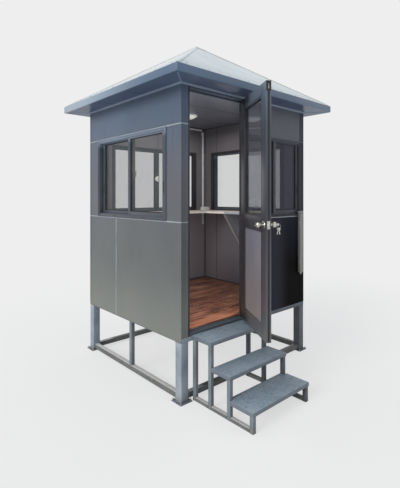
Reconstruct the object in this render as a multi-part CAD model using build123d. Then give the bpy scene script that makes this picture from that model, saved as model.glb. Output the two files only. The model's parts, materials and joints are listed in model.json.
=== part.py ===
from build123d import *
import os

# A guard booth of panels on a welded steel stand, with a glazed door, sliding windows and three steps.
# All sizes are in millimetres. The booth is laid out from its near left corner: X runs along the door
# face, Y goes back from it and Z is up from the ground. Each piece is then moved to the centre of the
# footprint when it is written.

os.makedirs("parts", exist_ok=True)

# Plan of the booth
booth_width = 1800.0
booth_depth = 1650.0
wall_thickness = 75.0
corner_post_side = 28.0
eave_overhang = 217.0

# Levels above the ground
frame_underside = 505.0
frame_height = 40.0
floor_panel_thickness = 36.0
floor_board_thickness = 12.0
sill_level = 1527.0
head_level = 2352.0
wall_top = 2700.0
roof_rise = 695.0

# Fits
seam = 0.3
mitre_gap = 1.0

# Stand
leg_side = 80.0
leg_wall = 4.0
base_plate_side = 130.0
base_plate_thickness = 8.0
tie_side = 50.0
tie_wall = 3.0
tie_inset = 15.0
tie_height = 15.0
post_side = 40.0
post_wall = 3.0

# Floor frame
joist_width = 50.0
joist_count = 3

# Skirt of the wall panels over the floor frame, on the sides and the back
skirt_thickness = 4.0
skirt_drop = 28.0

# Windows
window_frame_face = 25.0
window_frame_proud = 3.0
side_window_width = 1240.0
side_window_from_front = 210.0
back_window_width = 1320.0
sash_face = 40.0
sash_top_rail = 15.0
sash_depth = 26.0
sash_overlap = 40.0
outer_track = 8.0
inner_track = 42.0
glass_thickness = 6.0
latch_height = 70.0
latch_width = 22.0
latch_base_depth = 6.0
latch_lever_depth = 9.0
latch_lever_height = 46.0
latch_over_sill = 440.0

# Joint strips
strip_width = 10.0
strip_proud = 1.5
lower_joint_from_front = 1065.0

# Door
door_jamb_face = 20.0
door_head_face = 30.0
door_opening_width = 716.0
door_bottom = 576.0
door_top_gap = 6.0
door_hinge_gap = 5.0
door_latch_gap = 6.0
door_thickness = 45.0
door_rest_angle = 58.3
door_stile = 115.0
door_top_rail = 90.0
door_bottom_rail = 111.0
door_mid_rail_bottom = 1458.0
door_mid_rail_top = 1576.0
door_panel_thickness = 30.0
door_stop_depth = 12.0
door_stop_gap = 6.0
hinge_radius = 7.0
hinge_height = 100.0
hinge_plate_width = 17.0
hinge_plate_thickness = 3.0
hinge_knuckle_gap = 1.0
hinge_inset = 220.0
threshold_gap = 6.0

# Lock
knob_level = 1512.0
knob_backset = 60.0
rose_radius = 32.0
rose_thickness = 6.0
knob_neck_radius = 11.0
knob_neck_length = 18.0
knob_radius = 26.0
knob_depth = 36.0
knob_bevel = 9.0
face_plate_width = 25.0
face_plate_height = 64.0
face_plate_proud = 1.0

# Roof
soffit_thickness = 12.0
fascia_height = 66.0
fascia_thickness = 18.0
roof_sheet_thickness = 25.0
cap_half_width = 75.0
cap_thickness = 6.0

# Desk and fittings
desk_thickness = 25.0
desk_back_depth = 400.0
desk_side_depth = 350.0
desk_bracket_drop = 480.0
desk_bracket_thickness = 6.0
side_bracket_from_front = 850.0
back_bracket_from_left = 500.0
lamp_radius = 110.0
lamp_depth = 50.0
lamp_bevel = 14.0
lamp_from_left = 925.0
lamp_from_front = 1000.0
conduit_width = 20.0
conduit_depth = 14.0
conduit_below_ceiling = 16.0
conduit_start = 900.0
conduit_from_right = 40.0
conduit_tail = 175.0
outlet_side = 86.0
outlet_height = 36.0
meter_box_width = 64.0
meter_box_from_right = 50.0
meter_box_depth = 27.0
meter_box_height = 670.0
meter_box_over_sill = 33.0
meter_hood_thickness = 18.0
meter_hood_reach = 14.0
meter_hood_lip = 4.0

# Steps
step_left = 118.0
step_width = 728.0
top_tread_level = 552.0
middle_tread_level = 345.0
bottom_tread_level = 160.0
top_tread_depth = 236.0
middle_tread_depth = 214.0
bottom_tread_depth = 232.0
tread_thickness = 33.0
tread_plate = 5.0
tread_tuck = 38.0
step_leg_side = 35.0
step_leg_wall = 3.0
runner_height = 30.0

# Levels and lines that follow from the sizes above
wall_bottom = frame_underside + frame_height
floor_panel_top = wall_bottom + floor_panel_thickness
floor_level = floor_panel_top + floor_board_thickness
fascia_top = wall_top + fascia_height
roof_peak = fascia_top + roof_rise
desk_top = sill_level + desk_thickness
inner_right = booth_width - wall_thickness
inner_back = booth_depth - wall_thickness
door_left = wall_thickness + door_jamb_face
door_right = door_left + door_opening_width
front_wall_left = door_right + door_jamb_face
leaf_left = door_left + door_latch_gap
leaf_right = door_right - door_hinge_gap
door_head = wall_top - door_head_face
leaf_top = door_head - door_top_gap
hinge_x = door_right - door_hinge_gap / 2
hinge_y = -hinge_radius
meter_box_top = sill_level + meter_box_over_sill
meter_box_bottom = meter_box_top - meter_box_height
step_reach = seam + top_tread_depth + middle_tread_depth + bottom_tread_depth

# The origin stands on the ground at the centre of the footprint
centre_x = booth_width / 2
centre_y = (booth_depth + eave_overhang - step_reach) / 2


def block(x0, x1, y0, y1, z0, z1):
    """A box between two corners."""
    return Pos(x0, y0, z0) * Box(x1 - x0, y1 - y0, z1 - z0, align=(Align.MIN, Align.MIN, Align.MIN))


def tube(x0, x1, y0, y1, z0, z1, wall, along):
    """A rectangular tube between two corners, open at the ends that face along its axis."""
    inset = {name: 0.0 if name == along else wall for name in "xyz"}
    core = block(
        x0 + inset["x"], x1 - inset["x"],
        y0 + inset["y"], y1 - inset["y"],
        z0 + inset["z"], z1 - inset["z"],
    )
    return block(x0, x1, y0, y1, z0, z1) - core


def prism(points, height, plane):
    """A polygon in a plane, made as thick as the given height."""
    return extrude(plane * Polygon(*points, align=None), amount=height)


def ring_bars(x0, x1, z0, z1, y0, y1, side, top, bottom):
    """The four bars of a rectangular frame in the XZ plane: two uprights and two rails between them."""
    return [
        block(x0, x0 + side, y0, y1, z0, z1),
        block(x1 - side, x1, y0, y1, z0, z1),
        block(x0 + side + seam, x1 - side - seam, y0, y1, z1 - top, z1),
        block(x0 + side + seam, x1 - side - seam, y0, y1, z0, z0 + bottom),
    ]


def save(name, pieces):
    """Writes one named piece, or a set of like pieces, moved to the part's own origin."""
    placed = [Pos(-centre_x, -centre_y, 0) * piece for piece in pieces]
    solids = [solid for piece in placed for solid in piece.solids()]
    export_step(Compound(solids), f"parts/{name}.step")


# Each wall is drawn as seen from outside: X to the right, Y inwards from its face, Z up
front_face = Location((0, 0, 0))
left_face = Location((0, booth_depth, 0), (0, 0, -90))
right_face = Location((booth_width, 0, 0), (0, 0, 90))
back_face = Location((booth_width, booth_depth, 0), (0, 0, 180))


def stand():
    """Four tube legs on base plates, tied near the ground, with a post half way along each side."""
    far_x = booth_width - leg_side
    far_y = booth_depth - leg_side
    corners = [(0.0, 0.0), (far_x, 0.0), (0.0, far_y), (far_x, far_y)]
    margin = (base_plate_side - leg_side) / 2
    plates = [
        block(x - margin, x + leg_side + margin, y - margin, y + leg_side + margin, 0, base_plate_thickness)
        for x, y in corners
    ]
    legs = [
        tube(x, x + leg_side, y, y + leg_side, base_plate_thickness, frame_underside, leg_wall, "z")
        for x, y in corners
    ]
    low = tie_height
    high = tie_height + tie_side
    near = tie_inset
    ties = [
        tube(leg_side, far_x, near, near + tie_side, low, high, tie_wall, "x"),
        tube(leg_side, far_x, booth_depth - near - tie_side, booth_depth - near, low, high, tie_wall, "x"),
        tube(near, near + tie_side, leg_side, far_y, low, high, tie_wall, "y"),
        tube(booth_width - near - tie_side, booth_width - near, leg_side, far_y, low, high, tie_wall, "y"),
    ]
    offset = tie_inset + (tie_side - post_side) / 2
    middle = booth_depth / 2
    posts = [
        tube(x, x + post_side, middle - post_side / 2, middle + post_side / 2, high, frame_underside, post_wall, "z")
        for x in (offset, booth_width - offset - post_side)
    ]
    save("base_plates", plates)
    save("stand_legs", legs)
    save("tie_beams", ties)
    save("stand_posts", posts)


def floor():
    """A ring of tubes with joists, an insulated floor panel, the floor boards and the door's threshold."""
    low, high = frame_underside, wall_bottom
    beam = wall_thickness
    left, right = skirt_thickness, booth_width - skirt_thickness
    back = booth_depth - skirt_thickness
    frame = [
        tube(left, right, 0, beam, low, high, tie_wall, "x"),
        tube(left, right, booth_depth - beam, back, low, high, tie_wall, "x"),
        tube(left, beam, beam + seam, booth_depth - beam - seam, low, high, tie_wall, "y"),
        tube(booth_width - beam, right, beam + seam, booth_depth - beam - seam, low, high, tie_wall, "y"),
    ]
    pitch = (booth_depth - 2 * beam) / (joist_count + 1)
    for number in range(joist_count):
        y = beam + pitch * (number + 1)
        frame.append(tube(beam + seam, inner_right - seam, y - joist_width / 2, y + joist_width / 2,
                          low, high, tie_wall, "x"))
    save("floor_frame", frame)
    save("floor_panel", [block(wall_thickness, inner_right, wall_thickness, inner_back, high, floor_panel_top)])
    tongue_front = door_thickness + door_stop_gap
    tongue_left, tongue_right = door_left + seam, door_right - seam
    save("floor_boards", [
        block(wall_thickness, inner_right, wall_thickness, inner_back, floor_panel_top, floor_level)
        + block(tongue_left, tongue_right, tongue_front, wall_thickness, floor_panel_top, floor_level),
    ])
    step_down = block(tongue_left, tongue_right, 0, wall_thickness, high, door_bottom - threshold_gap)
    upstand = block(tongue_left, tongue_right, tongue_front, wall_thickness, high, floor_panel_top)
    save("threshold", [step_down + upstand])


def walls():
    """Corner posts and the walls in three bands, split at the sill and head lines, with their joint strips."""
    side_length = booth_depth - 2 * corner_post_side
    posts = [
        block(x, x + wall_thickness, y, y + corner_post_side, wall_bottom, wall_top)
        for x in (0.0, inner_right)
        for y in (0.0, booth_depth - corner_post_side)
    ]
    save("corner_posts", posts)

    def side_panel(low, high):
        return block(corner_post_side, corner_post_side + side_length, 0, wall_thickness, low, high)

    def back_panel(low, high):
        return block(wall_thickness, inner_right, 0, wall_thickness, low, high)

    def front_panel(low, high):
        return block(front_wall_left, inner_right, 0, wall_thickness, low, high)

    def skirt(start, end):
        return block(start, end, 0, skirt_thickness - seam, wall_bottom - skirt_drop, wall_bottom)

    side_skirt = skirt(0, booth_depth)
    back_skirt = skirt(skirt_thickness, booth_width - skirt_thickness)
    for name, face, panel, hem in (
        ("left", left_face, side_panel, side_skirt),
        ("right", right_face, side_panel, side_skirt),
        ("back", back_face, back_panel, back_skirt),
        ("front", front_face, front_panel, None),
    ):
        lower = panel(wall_bottom, sill_level)
        if hem:
            lower += hem
        save(f"{name}_wall_lower", [face * lower])
        save(f"{name}_wall_upper", [face * panel(head_level, wall_top)])

    window_back = side_window_from_front + side_window_width
    back_margin = (booth_width - back_window_width) / 2
    piers = []
    for x0, x1 in ((0.0, wall_thickness), (inner_right, booth_width)):
        piers.append(block(x0, x1, corner_post_side, side_window_from_front, sill_level, head_level))
        piers.append(block(x0, x1, window_back, booth_depth - corner_post_side, sill_level, head_level))
    for x0, x1 in ((wall_thickness, back_margin), (booth_width - back_margin, inner_right)):
        piers.append(block(x0, x1, inner_back, booth_depth, sill_level, head_level))
    save("wall_piers", piers)

    strips = []
    half = strip_width / 2
    for face, length in ((left_face, booth_depth), (right_face, booth_depth), (back_face, booth_width)):
        for low in (sill_level - strip_width, head_level):
            strips.append(face * block(seam, length - seam, -strip_proud, 0, low, low + strip_width))
    for low in (sill_level - strip_width, head_level):
        strips.append(block(front_wall_left, booth_width, -strip_proud, 0, low, low + strip_width))
        strips.append(block(0, wall_thickness, -strip_proud, 0, low, low + strip_width))
    for face, place in ((left_face, booth_depth - lower_joint_from_front), (right_face, lower_joint_from_front)):
        strips.append(face * block(place - half, place + half, -strip_proud, 0,
                                   wall_bottom - skirt_drop, sill_level - strip_width - seam))
    save("joint_strips", strips)


def window(left, width):
    """Frame bars, sash bars and panes of a sliding window, seen from outside; the right sash runs in front."""
    low = sill_level
    high = head_level
    right = left + width
    face = window_frame_face
    frame = ring_bars(left, right, low, high, -window_frame_proud, wall_thickness + window_frame_proud,
                      face, face, face)
    inside_left = left + face + seam
    inside_right = right - face - seam
    sash_low = low + face + seam
    sash_high = high - face - seam
    sash_width = (inside_right - inside_left + sash_overlap) / 2
    sashes = []
    panes = []
    for x0, track in ((inside_right - sash_width, outer_track), (inside_left, inner_track)):
        x1 = x0 + sash_width
        sashes += ring_bars(x0, x1, sash_low, sash_high, track, track + sash_depth,
                            sash_face, sash_top_rail, sash_face)
        rim = sash_face + seam
        middle = track + sash_depth / 2
        panes.append(block(x0 + rim, x1 - rim, middle - glass_thickness / 2, middle + glass_thickness / 2,
                           sash_low + rim, sash_high - sash_top_rail - seam))
    return frame, sashes, panes


def window_latch(left, width):
    """A latch on the room side of the inner sash, in the middle of its meeting stile: a base and a lever."""
    sash_width = (width - 2 * window_frame_face - 2 * seam + sash_overlap) / 2
    stile_middle = left + window_frame_face + seam + sash_width - sash_face / 2
    half = latch_width / 2
    low = sill_level + latch_over_sill - latch_height / 2
    sash_back = inner_track + sash_depth
    base_back = sash_back + latch_base_depth
    lever_middle = low + latch_height / 2
    base = block(stile_middle - half, stile_middle + half, sash_back, base_back, low, low + latch_height)
    lever = block(stile_middle - half / 2, stile_middle + half / 2, base_back, base_back + latch_lever_depth,
                  lever_middle - latch_lever_height / 2, lever_middle + latch_lever_height / 2)
    return base + lever


def windows():
    """One sliding window in each wall; the front one fills the band beside the door."""
    side_left = booth_depth - side_window_from_front - side_window_width
    layouts = (
        ("left", left_face, side_left, side_window_width),
        ("right", right_face, side_window_from_front, side_window_width),
        ("back", back_face, (booth_width - back_window_width) / 2, back_window_width),
        ("front", front_face, front_wall_left, inner_right - front_wall_left),
    )
    all_sashes = []
    all_panes = []
    all_latches = []
    for name, face, left, width in layouts:
        frame, sashes, panes = window(left, width)
        save(f"{name}_window_frame", [face * bar for bar in frame])
        all_sashes += [face * bar for bar in sashes]
        all_panes += [face * pane for pane in panes]
        all_latches.append(face * window_latch(left, width))
    save("window_sashes", all_sashes)
    save("window_glass", all_panes)
    save("window_latches", all_latches)


def hinge_levels():
    """Middles of the three hinges."""
    low = door_bottom + hinge_inset
    high = leaf_top - hinge_inset
    return [low, (low + high) / 2, high]


def half_hinge(middle, upper, plate_left, plate_right):
    """One plate of a butt hinge with its knuckle: the upper or the lower half of the barrel."""
    half = hinge_height / 2
    gap = hinge_knuckle_gap / 2
    low = middle + gap if upper else middle - half
    barrel = Pos(hinge_x, hinge_y, low) * Cylinder(
        hinge_radius, half - gap, align=(Align.CENTER, Align.CENTER, Align.MIN))
    plate = block(plate_left, plate_right, -hinge_plate_thickness, 0, middle - half, middle + half)
    web = block(min(hinge_x, plate_left), max(hinge_x, plate_right), -hinge_plate_thickness, 0, low, low + half - gap)
    bore = Pos(hinge_x, hinge_y, middle - half) * Cylinder(
        hinge_radius + hinge_knuckle_gap, hinge_height, align=(Align.CENTER, Align.CENTER, Align.MIN))
    return (plate - bore) + barrel + web


def door_frame():
    """Two jambs and a head with a stop behind the leaf, and the fixed halves of the hinges."""
    stop_front = door_thickness + door_stop_gap
    jambs = []
    for x0, x1, stop0, stop1 in (
        (wall_thickness, door_left, door_left, door_left + door_stop_depth),
        (door_right, front_wall_left, door_right - door_stop_depth, door_right),
    ):
        jamb = block(x0, x1, 0, wall_thickness, wall_bottom, wall_top)
        stop = block(stop0, stop1, stop_front, wall_thickness, floor_level + seam, door_head - door_stop_depth - seam)
        jambs.append(jamb + stop)
    head = block(door_left + seam, door_right - seam, 0, wall_thickness, door_head, wall_top)
    head_stop = block(door_left + seam, door_right - seam, stop_front, wall_thickness,
                      door_head - door_stop_depth, wall_top)
    save("door_frame", jambs + [head + head_stop])
    plate_left = door_right + door_hinge_gap / 2
    save("jamb_hinges", [
        half_hinge(level, False, plate_left, plate_left + hinge_plate_width) for level in hinge_levels()
    ])


def knob(outward):
    """A round rose, a neck and a bevelled knob turned about the spindle; outward is the side it points to."""
    neck_end = rose_thickness + knob_neck_length
    knob_end = neck_end + knob_depth
    outline = [
        (0, 0), (rose_radius, 0), (rose_radius, rose_thickness), (knob_neck_radius, rose_thickness),
        (knob_neck_radius, neck_end), (knob_radius - knob_bevel, neck_end), (knob_radius, neck_end + knob_bevel),
        (knob_radius, knob_end - knob_bevel), (knob_radius - knob_bevel, knob_end), (0, knob_end),
    ]
    body = revolve(Polygon(*outline, align=None), Axis.Y)
    return Rot(0, 0, 180) * body if outward else body


def door_leaf():
    """The glazed leaf, drawn closed and then swung to where it stands, with its lock and hinge halves."""
    swing = Pos(hinge_x, hinge_y, 0) * Rot(0, 0, door_rest_angle) * Pos(-hinge_x, -hinge_y, 0)
    rail_left = leaf_left + door_stile + seam
    rail_right = leaf_right - door_stile - seam
    bars = [
        block(leaf_left, leaf_left + door_stile, 0, door_thickness, door_bottom, leaf_top),
        block(leaf_right - door_stile, leaf_right, 0, door_thickness, door_bottom, leaf_top),
        block(rail_left, rail_right, 0, door_thickness, leaf_top - door_top_rail, leaf_top),
        block(rail_left, rail_right, 0, door_thickness, door_mid_rail_bottom, door_mid_rail_top),
        block(rail_left, rail_right, 0, door_thickness, door_bottom, door_bottom + door_bottom_rail),
    ]
    middle = door_thickness / 2

    def infill(thickness, low, high):
        return block(rail_left, rail_right, middle - thickness / 2, middle + thickness / 2, low + seam, high - seam)

    spindle_x = leaf_left + knob_backset
    outer_knob = Pos(spindle_x, 0, knob_level) * knob(True)
    inner_knob = Pos(spindle_x, door_thickness, knob_level) * knob(False)
    plate = block(leaf_left - face_plate_proud, leaf_left, middle - face_plate_width / 2,
                  middle + face_plate_width / 2, knob_level - face_plate_height / 2,
                  knob_level + face_plate_height / 2)
    plate_right = leaf_right - door_hinge_gap / 2
    hinges = [half_hinge(level, True, plate_right - hinge_plate_width, plate_right) for level in hinge_levels()]
    save("door_leaf_frame", [swing * bar for bar in bars])
    save("door_lower_panel", [
        swing * infill(door_panel_thickness, door_bottom + door_bottom_rail, door_mid_rail_bottom),
    ])
    save("door_glass", [swing * infill(glass_thickness, door_mid_rail_top, leaf_top - door_top_rail)])
    save("door_lock", [swing * piece for piece in (outer_knob, inner_knob, plate)])
    save("leaf_hinges", [swing * hinge for hinge in hinges])


def roof():
    """Ceiling, mitred soffit boards, fascia boards and a four-sided sheet roof with a cap."""
    x0, x1 = -eave_overhang, booth_width + eave_overhang
    y0, y1 = -eave_overhang, booth_depth + eave_overhang
    save("ceiling_panel", [block(0, booth_width, 0, booth_depth, wall_top, wall_top + soffit_thickness)])

    inset = fascia_thickness + seam
    gap = mitre_gap / 2
    plane = Plane.XY.offset(wall_top)
    outer = [(x0 + inset, y0 + inset), (x1 - inset, y0 + inset), (x1 - inset, y1 - inset), (x0 + inset, y1 - inset)]
    inner = [(-seam, -seam), (booth_width + seam, -seam),
             (booth_width + seam, booth_depth + seam), (-seam, booth_depth + seam)]
    slides = [(1, 0), (0, 1), (-1, 0), (0, -1)]
    boards = []
    for side in range(4):
        other = (side + 1) % 4
        ux, uy = slides[side]
        near = (outer[side][0] + ux * gap, outer[side][1] + uy * gap)
        far = (outer[other][0] - ux * gap, outer[other][1] - uy * gap)
        far_in = (inner[other][0] - ux * gap, inner[other][1] - uy * gap)
        near_in = (inner[side][0] + ux * gap, inner[side][1] + uy * gap)
        boards.append(prism([near, far, far_in, near_in], soffit_thickness, plane))
    save("soffit_boards", boards)

    thick = fascia_thickness
    save("fascia_boards", [
        block(x0, x1, y0, y0 + thick, wall_top, fascia_top),
        block(x0, x1, y1 - thick, y1, wall_top, fascia_top),
        block(x0, x0 + thick, y0 + thick + seam, y1 - thick - seam, wall_top, fascia_top),
        block(x1 - thick, x1, y0 + thick + seam, y1 - thick - seam, wall_top, fascia_top),
    ])

    centre = (booth_width / 2, booth_depth / 2)
    corners = [(x0, y0), (x1, y0), (x1, y1), (x0, y1)]
    sheet_peak = roof_peak - cap_thickness
    drop = roof_sheet_thickness
    void = pyramid([(x, y, fascia_top - drop) for x, y in corners], (centre[0], centre[1], sheet_peak - drop))
    sheets = [
        roof_sheet(corners[side], corners[(side + 1) % 4], centre, sheet_peak) - void for side in range(4)
    ]
    save("roof_sheets", sheets)
    outer_peak = (centre[0], centre[1], roof_peak)
    skirt = [(x, y, fascia_top + cap_thickness) for x, y in corners]
    core = pyramid([(x, y, fascia_top) for x, y in corners], (centre[0], centre[1], sheet_peak + seam))
    keep = block(centre[0] - cap_half_width, centre[0] + cap_half_width,
                 centre[1] - cap_half_width, centre[1] + cap_half_width, fascia_top, roof_peak)
    save("roof_cap", [(pyramid(skirt, outer_peak) & keep) - core])


def pyramid(base, peak):
    """A solid from a four-cornered base to a point."""
    sides = [Face(Wire.make_polygon([base[i], base[(i + 1) % 4], peak])) for i in range(4)]
    return Solid(Shell([Face(Wire.make_polygon(base))] + sides))


def roof_sheet(near, far, centre, peak_level):
    """The quarter of the outer pyramid over one eave, mitred at the hips with a hairline gap."""
    length_x = far[0] - near[0]
    length_y = far[1] - near[1]
    length = (length_x ** 2 + length_y ** 2) ** 0.5
    ux, uy = length_x / length, length_y / length
    corner_a = (near[0] + ux * seam, near[1] + uy * seam, fascia_top)
    corner_b = (far[0] - ux * seam, far[1] - uy * seam, fascia_top)
    foot = (centre[0] + uy * seam, centre[1] - ux * seam, fascia_top)
    peak = (foot[0], foot[1], peak_level)
    outline = [(corner_a, corner_b, foot), (corner_a, corner_b, peak), (corner_b, foot, peak), (foot, corner_a, peak)]
    return Solid(Shell([Face(Wire.make_polygon(points)) for points in outline]))


def fittings():
    """The L-shaped desk with its gussets, the ceiling lamp, the trunking with its outlet, and the meter box."""
    desk_front = inner_back - desk_back_depth
    desk_side = inner_right - desk_side_depth
    edge = window_frame_proud + seam
    save("desk", [
        block(wall_thickness + edge, inner_right - edge, desk_front, inner_back - edge, sill_level, desk_top),
        block(desk_side, inner_right - edge, wall_thickness + edge, desk_front - seam, sill_level, desk_top),
    ])
    half = desk_bracket_thickness / 2
    low = sill_level - desk_bracket_drop
    side_plane = Plane(origin=(0, side_bracket_from_front + half, 0), x_dir=(1, 0, 0), z_dir=(0, -1, 0))
    back_plane = Plane(origin=(back_bracket_from_left - half, 0, 0), x_dir=(0, 1, 0), z_dir=(1, 0, 0))
    save("desk_brackets", [
        prism([(desk_side, sill_level), (inner_right, sill_level), (inner_right, low)],
              desk_bracket_thickness, side_plane),
        prism([(desk_front, sill_level), (inner_back, sill_level), (inner_back, low)],
              desk_bracket_thickness, back_plane),
    ])

    lamp = Pos(lamp_from_left, lamp_from_front, wall_top - lamp_depth) * Cylinder(
        lamp_radius, lamp_depth, align=(Align.CENTER, Align.CENTER, Align.MIN))
    lamp = chamfer(lamp.edges().group_by(Axis.Z)[0], lamp_bevel)
    save("ceiling_lamp", [lamp])

    run_top = wall_top - conduit_below_ceiling
    right = inner_right - conduit_from_right
    back = inner_back
    front = inner_back - conduit_depth
    outlet_top = desk_top + outlet_height
    save("conduit", [
        block(conduit_start, right - conduit_width - seam, front, back, run_top - conduit_width, run_top),
        block(right - conduit_width, right, front, back, outlet_top, run_top),
        block(conduit_start, conduit_start + conduit_width, front, back, run_top + seam, wall_top),
        block(right - conduit_width, right, front, back, sill_level - conduit_tail, sill_level),
    ])
    save("outlet_box", [
        block(inner_right - outlet_side - edge, inner_right - edge,
              inner_back - outlet_side - edge, inner_back - edge, desk_top, outlet_top),
    ])

    box_right = booth_width - meter_box_from_right
    box_left = box_right - meter_box_width
    box_back = -window_frame_proud
    box_front = box_back - meter_box_depth
    save("meter_box", [
        block(box_left, box_right, box_front, box_back, meter_box_bottom, meter_box_top)
        + block(box_left - meter_hood_reach, box_right, box_front - meter_hood_lip, box_back,
                meter_box_top, meter_box_top + meter_hood_thickness),
    ])


def steps():
    """Three pressed treads on tube legs that stand on the ground, joined by runners along each side."""
    x0, x1 = step_left, step_left + step_width
    side = step_leg_side
    lip = tread_plate
    flights = (
        (top_tread_level, top_tread_depth),
        (middle_tread_level, middle_tread_depth),
        (bottom_tread_level, bottom_tread_depth),
    )
    treads = []
    legs = []
    leg_fronts = []
    back = -seam
    for number, (level, depth) in enumerate(flights):
        front = back - depth
        treads.append(tread_pan(x0, x1, front, back, level))
        leg_backs = [front + lip + side]
        if number == 0:
            leg_backs.append(back - lip)
        for leg_back in leg_backs:
            for left in (x0 + lip, x1 - lip - side):
                legs.append(tube(left, left + side, leg_back - side, leg_back, 0, level - lip, step_leg_wall, "z"))
            leg_fronts.append(leg_back - side)
        back = front
    bottom_back = back + bottom_tread_depth
    inset = lip + side + seam
    treads.append(block(x0 + inset, x1 - inset, bottom_back + seam, bottom_back + tread_tuck,
                        bottom_tread_level - tread_plate, bottom_tread_level))
    runners = []
    leg_fronts.sort(reverse=True)
    for behind, ahead in zip(leg_fronts, leg_fronts[1:]):
        for left in (x0 + lip, x1 - lip - side):
            runners.append(tube(left, left + side, ahead + side, behind, 0, runner_height, step_leg_wall, "y"))
    save("step_treads", treads)
    save("step_legs", legs)
    save("step_runners", runners)


def tread_pan(x0, x1, front, back, level):
    """A sheet folded down along its four edges, open below."""
    lip = tread_plate
    pan = block(x0, x1, front, back, level - tread_thickness, level)
    return pan - block(x0 + lip, x1 - lip, front + lip, back - lip, level - tread_thickness, level - lip)


stand()
floor()
walls()
windows()
door_frame()
door_leaf()
roof()
fittings()
steps()

print("door hinge from the origin", round(hinge_x - centre_x, 2), round(hinge_y - centre_y, 2))
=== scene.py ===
import bpy
import json
import random
from math import pi, radians
from mathutils import Matrix, Vector


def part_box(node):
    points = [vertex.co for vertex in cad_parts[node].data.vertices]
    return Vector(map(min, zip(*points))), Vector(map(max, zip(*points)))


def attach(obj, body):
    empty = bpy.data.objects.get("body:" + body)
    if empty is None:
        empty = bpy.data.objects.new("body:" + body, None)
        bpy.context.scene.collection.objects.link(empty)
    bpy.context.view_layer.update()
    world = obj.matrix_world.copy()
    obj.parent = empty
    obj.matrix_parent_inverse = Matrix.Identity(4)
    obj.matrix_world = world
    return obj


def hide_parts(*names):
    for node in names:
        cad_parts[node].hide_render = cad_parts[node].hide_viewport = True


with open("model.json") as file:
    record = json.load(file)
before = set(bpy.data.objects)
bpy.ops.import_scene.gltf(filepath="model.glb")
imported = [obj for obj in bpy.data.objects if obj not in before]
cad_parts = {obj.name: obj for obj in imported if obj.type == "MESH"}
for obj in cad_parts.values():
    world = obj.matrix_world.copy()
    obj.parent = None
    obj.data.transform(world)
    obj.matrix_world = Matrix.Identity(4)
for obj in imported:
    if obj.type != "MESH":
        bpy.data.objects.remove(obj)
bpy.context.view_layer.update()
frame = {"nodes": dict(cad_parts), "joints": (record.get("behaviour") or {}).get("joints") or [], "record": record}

nodes = frame["nodes"]
dice = random.Random(7)
postLow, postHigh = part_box("corner_posts")
left, front, right, back = postLow.x, postLow.y, postHigh.x, postHigh.y
wallBottom, wallTop = postLow.z, postHigh.z
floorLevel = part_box("floor_boards")[1].z
doorJoint = frame["joints"][0]
hinge = Vector(doorJoint["pos_m"])

# Tools


def shift(x, y, z):
    return Matrix.Translation((x, y, z))


def spun(degrees, axis="Z"):
    return Matrix.Rotation(radians(degrees), 4, axis)


def aimed(place, direction):  # turns a piece's Z to the direction and sets it at the place
    return Matrix.Translation(place) @ Vector(direction).to_track_quat("Z", "Y").to_matrix().to_4x4()


def framed(*axes):  # the turn that brings X, Y and Z to these axes
    return Matrix(axes).transposed().to_4x4()


def setAll(thing, values):
    for key, value in values.items():
        setattr(thing, key, value)


def clearAll():
    if bpy.context.object and bpy.context.object.mode != "OBJECT":
        leave()
    bpy.ops.object.select_all(action="DESELECT")


def choose(piece):
    clearAll()
    piece.select_set(True)
    bpy.context.view_layer.objects.active = piece


def leave():
    bpy.ops.object.mode_set(mode="OBJECT")


def settle(piece, name):
    choose(piece)
    bpy.ops.object.transform_apply(location=True, rotation=True, scale=True)
    piece.name = piece.data.name = name
    return piece


def moved(piece, matrix):
    piece.data.transform(matrix)
    return piece


def modify(piece, kind, **values):
    choose(piece)
    made = piece.modifiers.new(kind.title(), kind)
    setAll(made, values)
    bpy.ops.object.modifier_apply(modifier=made.name)
    return piece


def roundOff(piece, width, segments=2):
    return modify(piece, "BEVEL", width=width, segments=segments, limit_method="ANGLE", angle_limit=radians(40))


def carve(piece, cutter):
    modify(piece, "BOOLEAN", operation="DIFFERENCE", object=cutter, solver="EXACT")
    bpy.data.objects.remove(cutter)
    return piece


def pickFaces(piece, test=None):  # leaves the piece in edit mode with the faces that pass the test selected
    choose(piece)
    bpy.ops.object.mode_set(mode="EDIT")
    bpy.ops.mesh.select_mode(type="FACE")
    bpy.ops.mesh.select_all(action="DESELECT")
    leave()
    for face in piece.data.polygons:
        face.select = not test or bool(test(face))
    bpy.ops.object.mode_set(mode="EDIT")
    return piece


def facing(*axis):
    return lambda face: face.normal.dot(Vector(axis)) > 0.9


def insetFaces(piece, test, thickness, depth):  # a step sunk into the chosen faces, or raised where depth is positive
    pickFaces(piece, test)
    bpy.ops.mesh.inset(thickness=thickness, depth=depth)
    leave()
    return piece


def scaleFaces(piece, test, value, **about):
    pickFaces(piece, test)
    bpy.ops.transform.resize(value=value, **about)
    leave()
    return piece


def boxPiece(name, low, high, width=0, segments=2):  # a box with its edges rounded by width
    clearAll()
    middle = [(a + b) / 2 for a, b in zip(low, high)]
    bpy.ops.mesh.primitive_cube_add(size=1, location=middle, scale=[b - a for a, b in zip(low, high)])
    piece = settle(bpy.context.object, name)
    return roundOff(piece, width, segments) if width else piece


def rodPiece(name, radius, start, end, sides=24):  # a round bar from one point to another
    clearAll()
    start, end = Vector(start), Vector(end)
    bpy.ops.mesh.primitive_cylinder_add(vertices=sides, radius=radius, depth=(end - start).length)
    piece = bpy.context.object
    piece.matrix_world = aimed((start + end) / 2, end - start)
    return settle(piece, name)


def planePiece(name, wide, deep):
    clearAll()
    bpy.ops.mesh.primitive_plane_add(size=1)
    piece = bpy.context.object
    piece.scale = (wide, deep, 1)
    return settle(piece, name)


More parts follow.
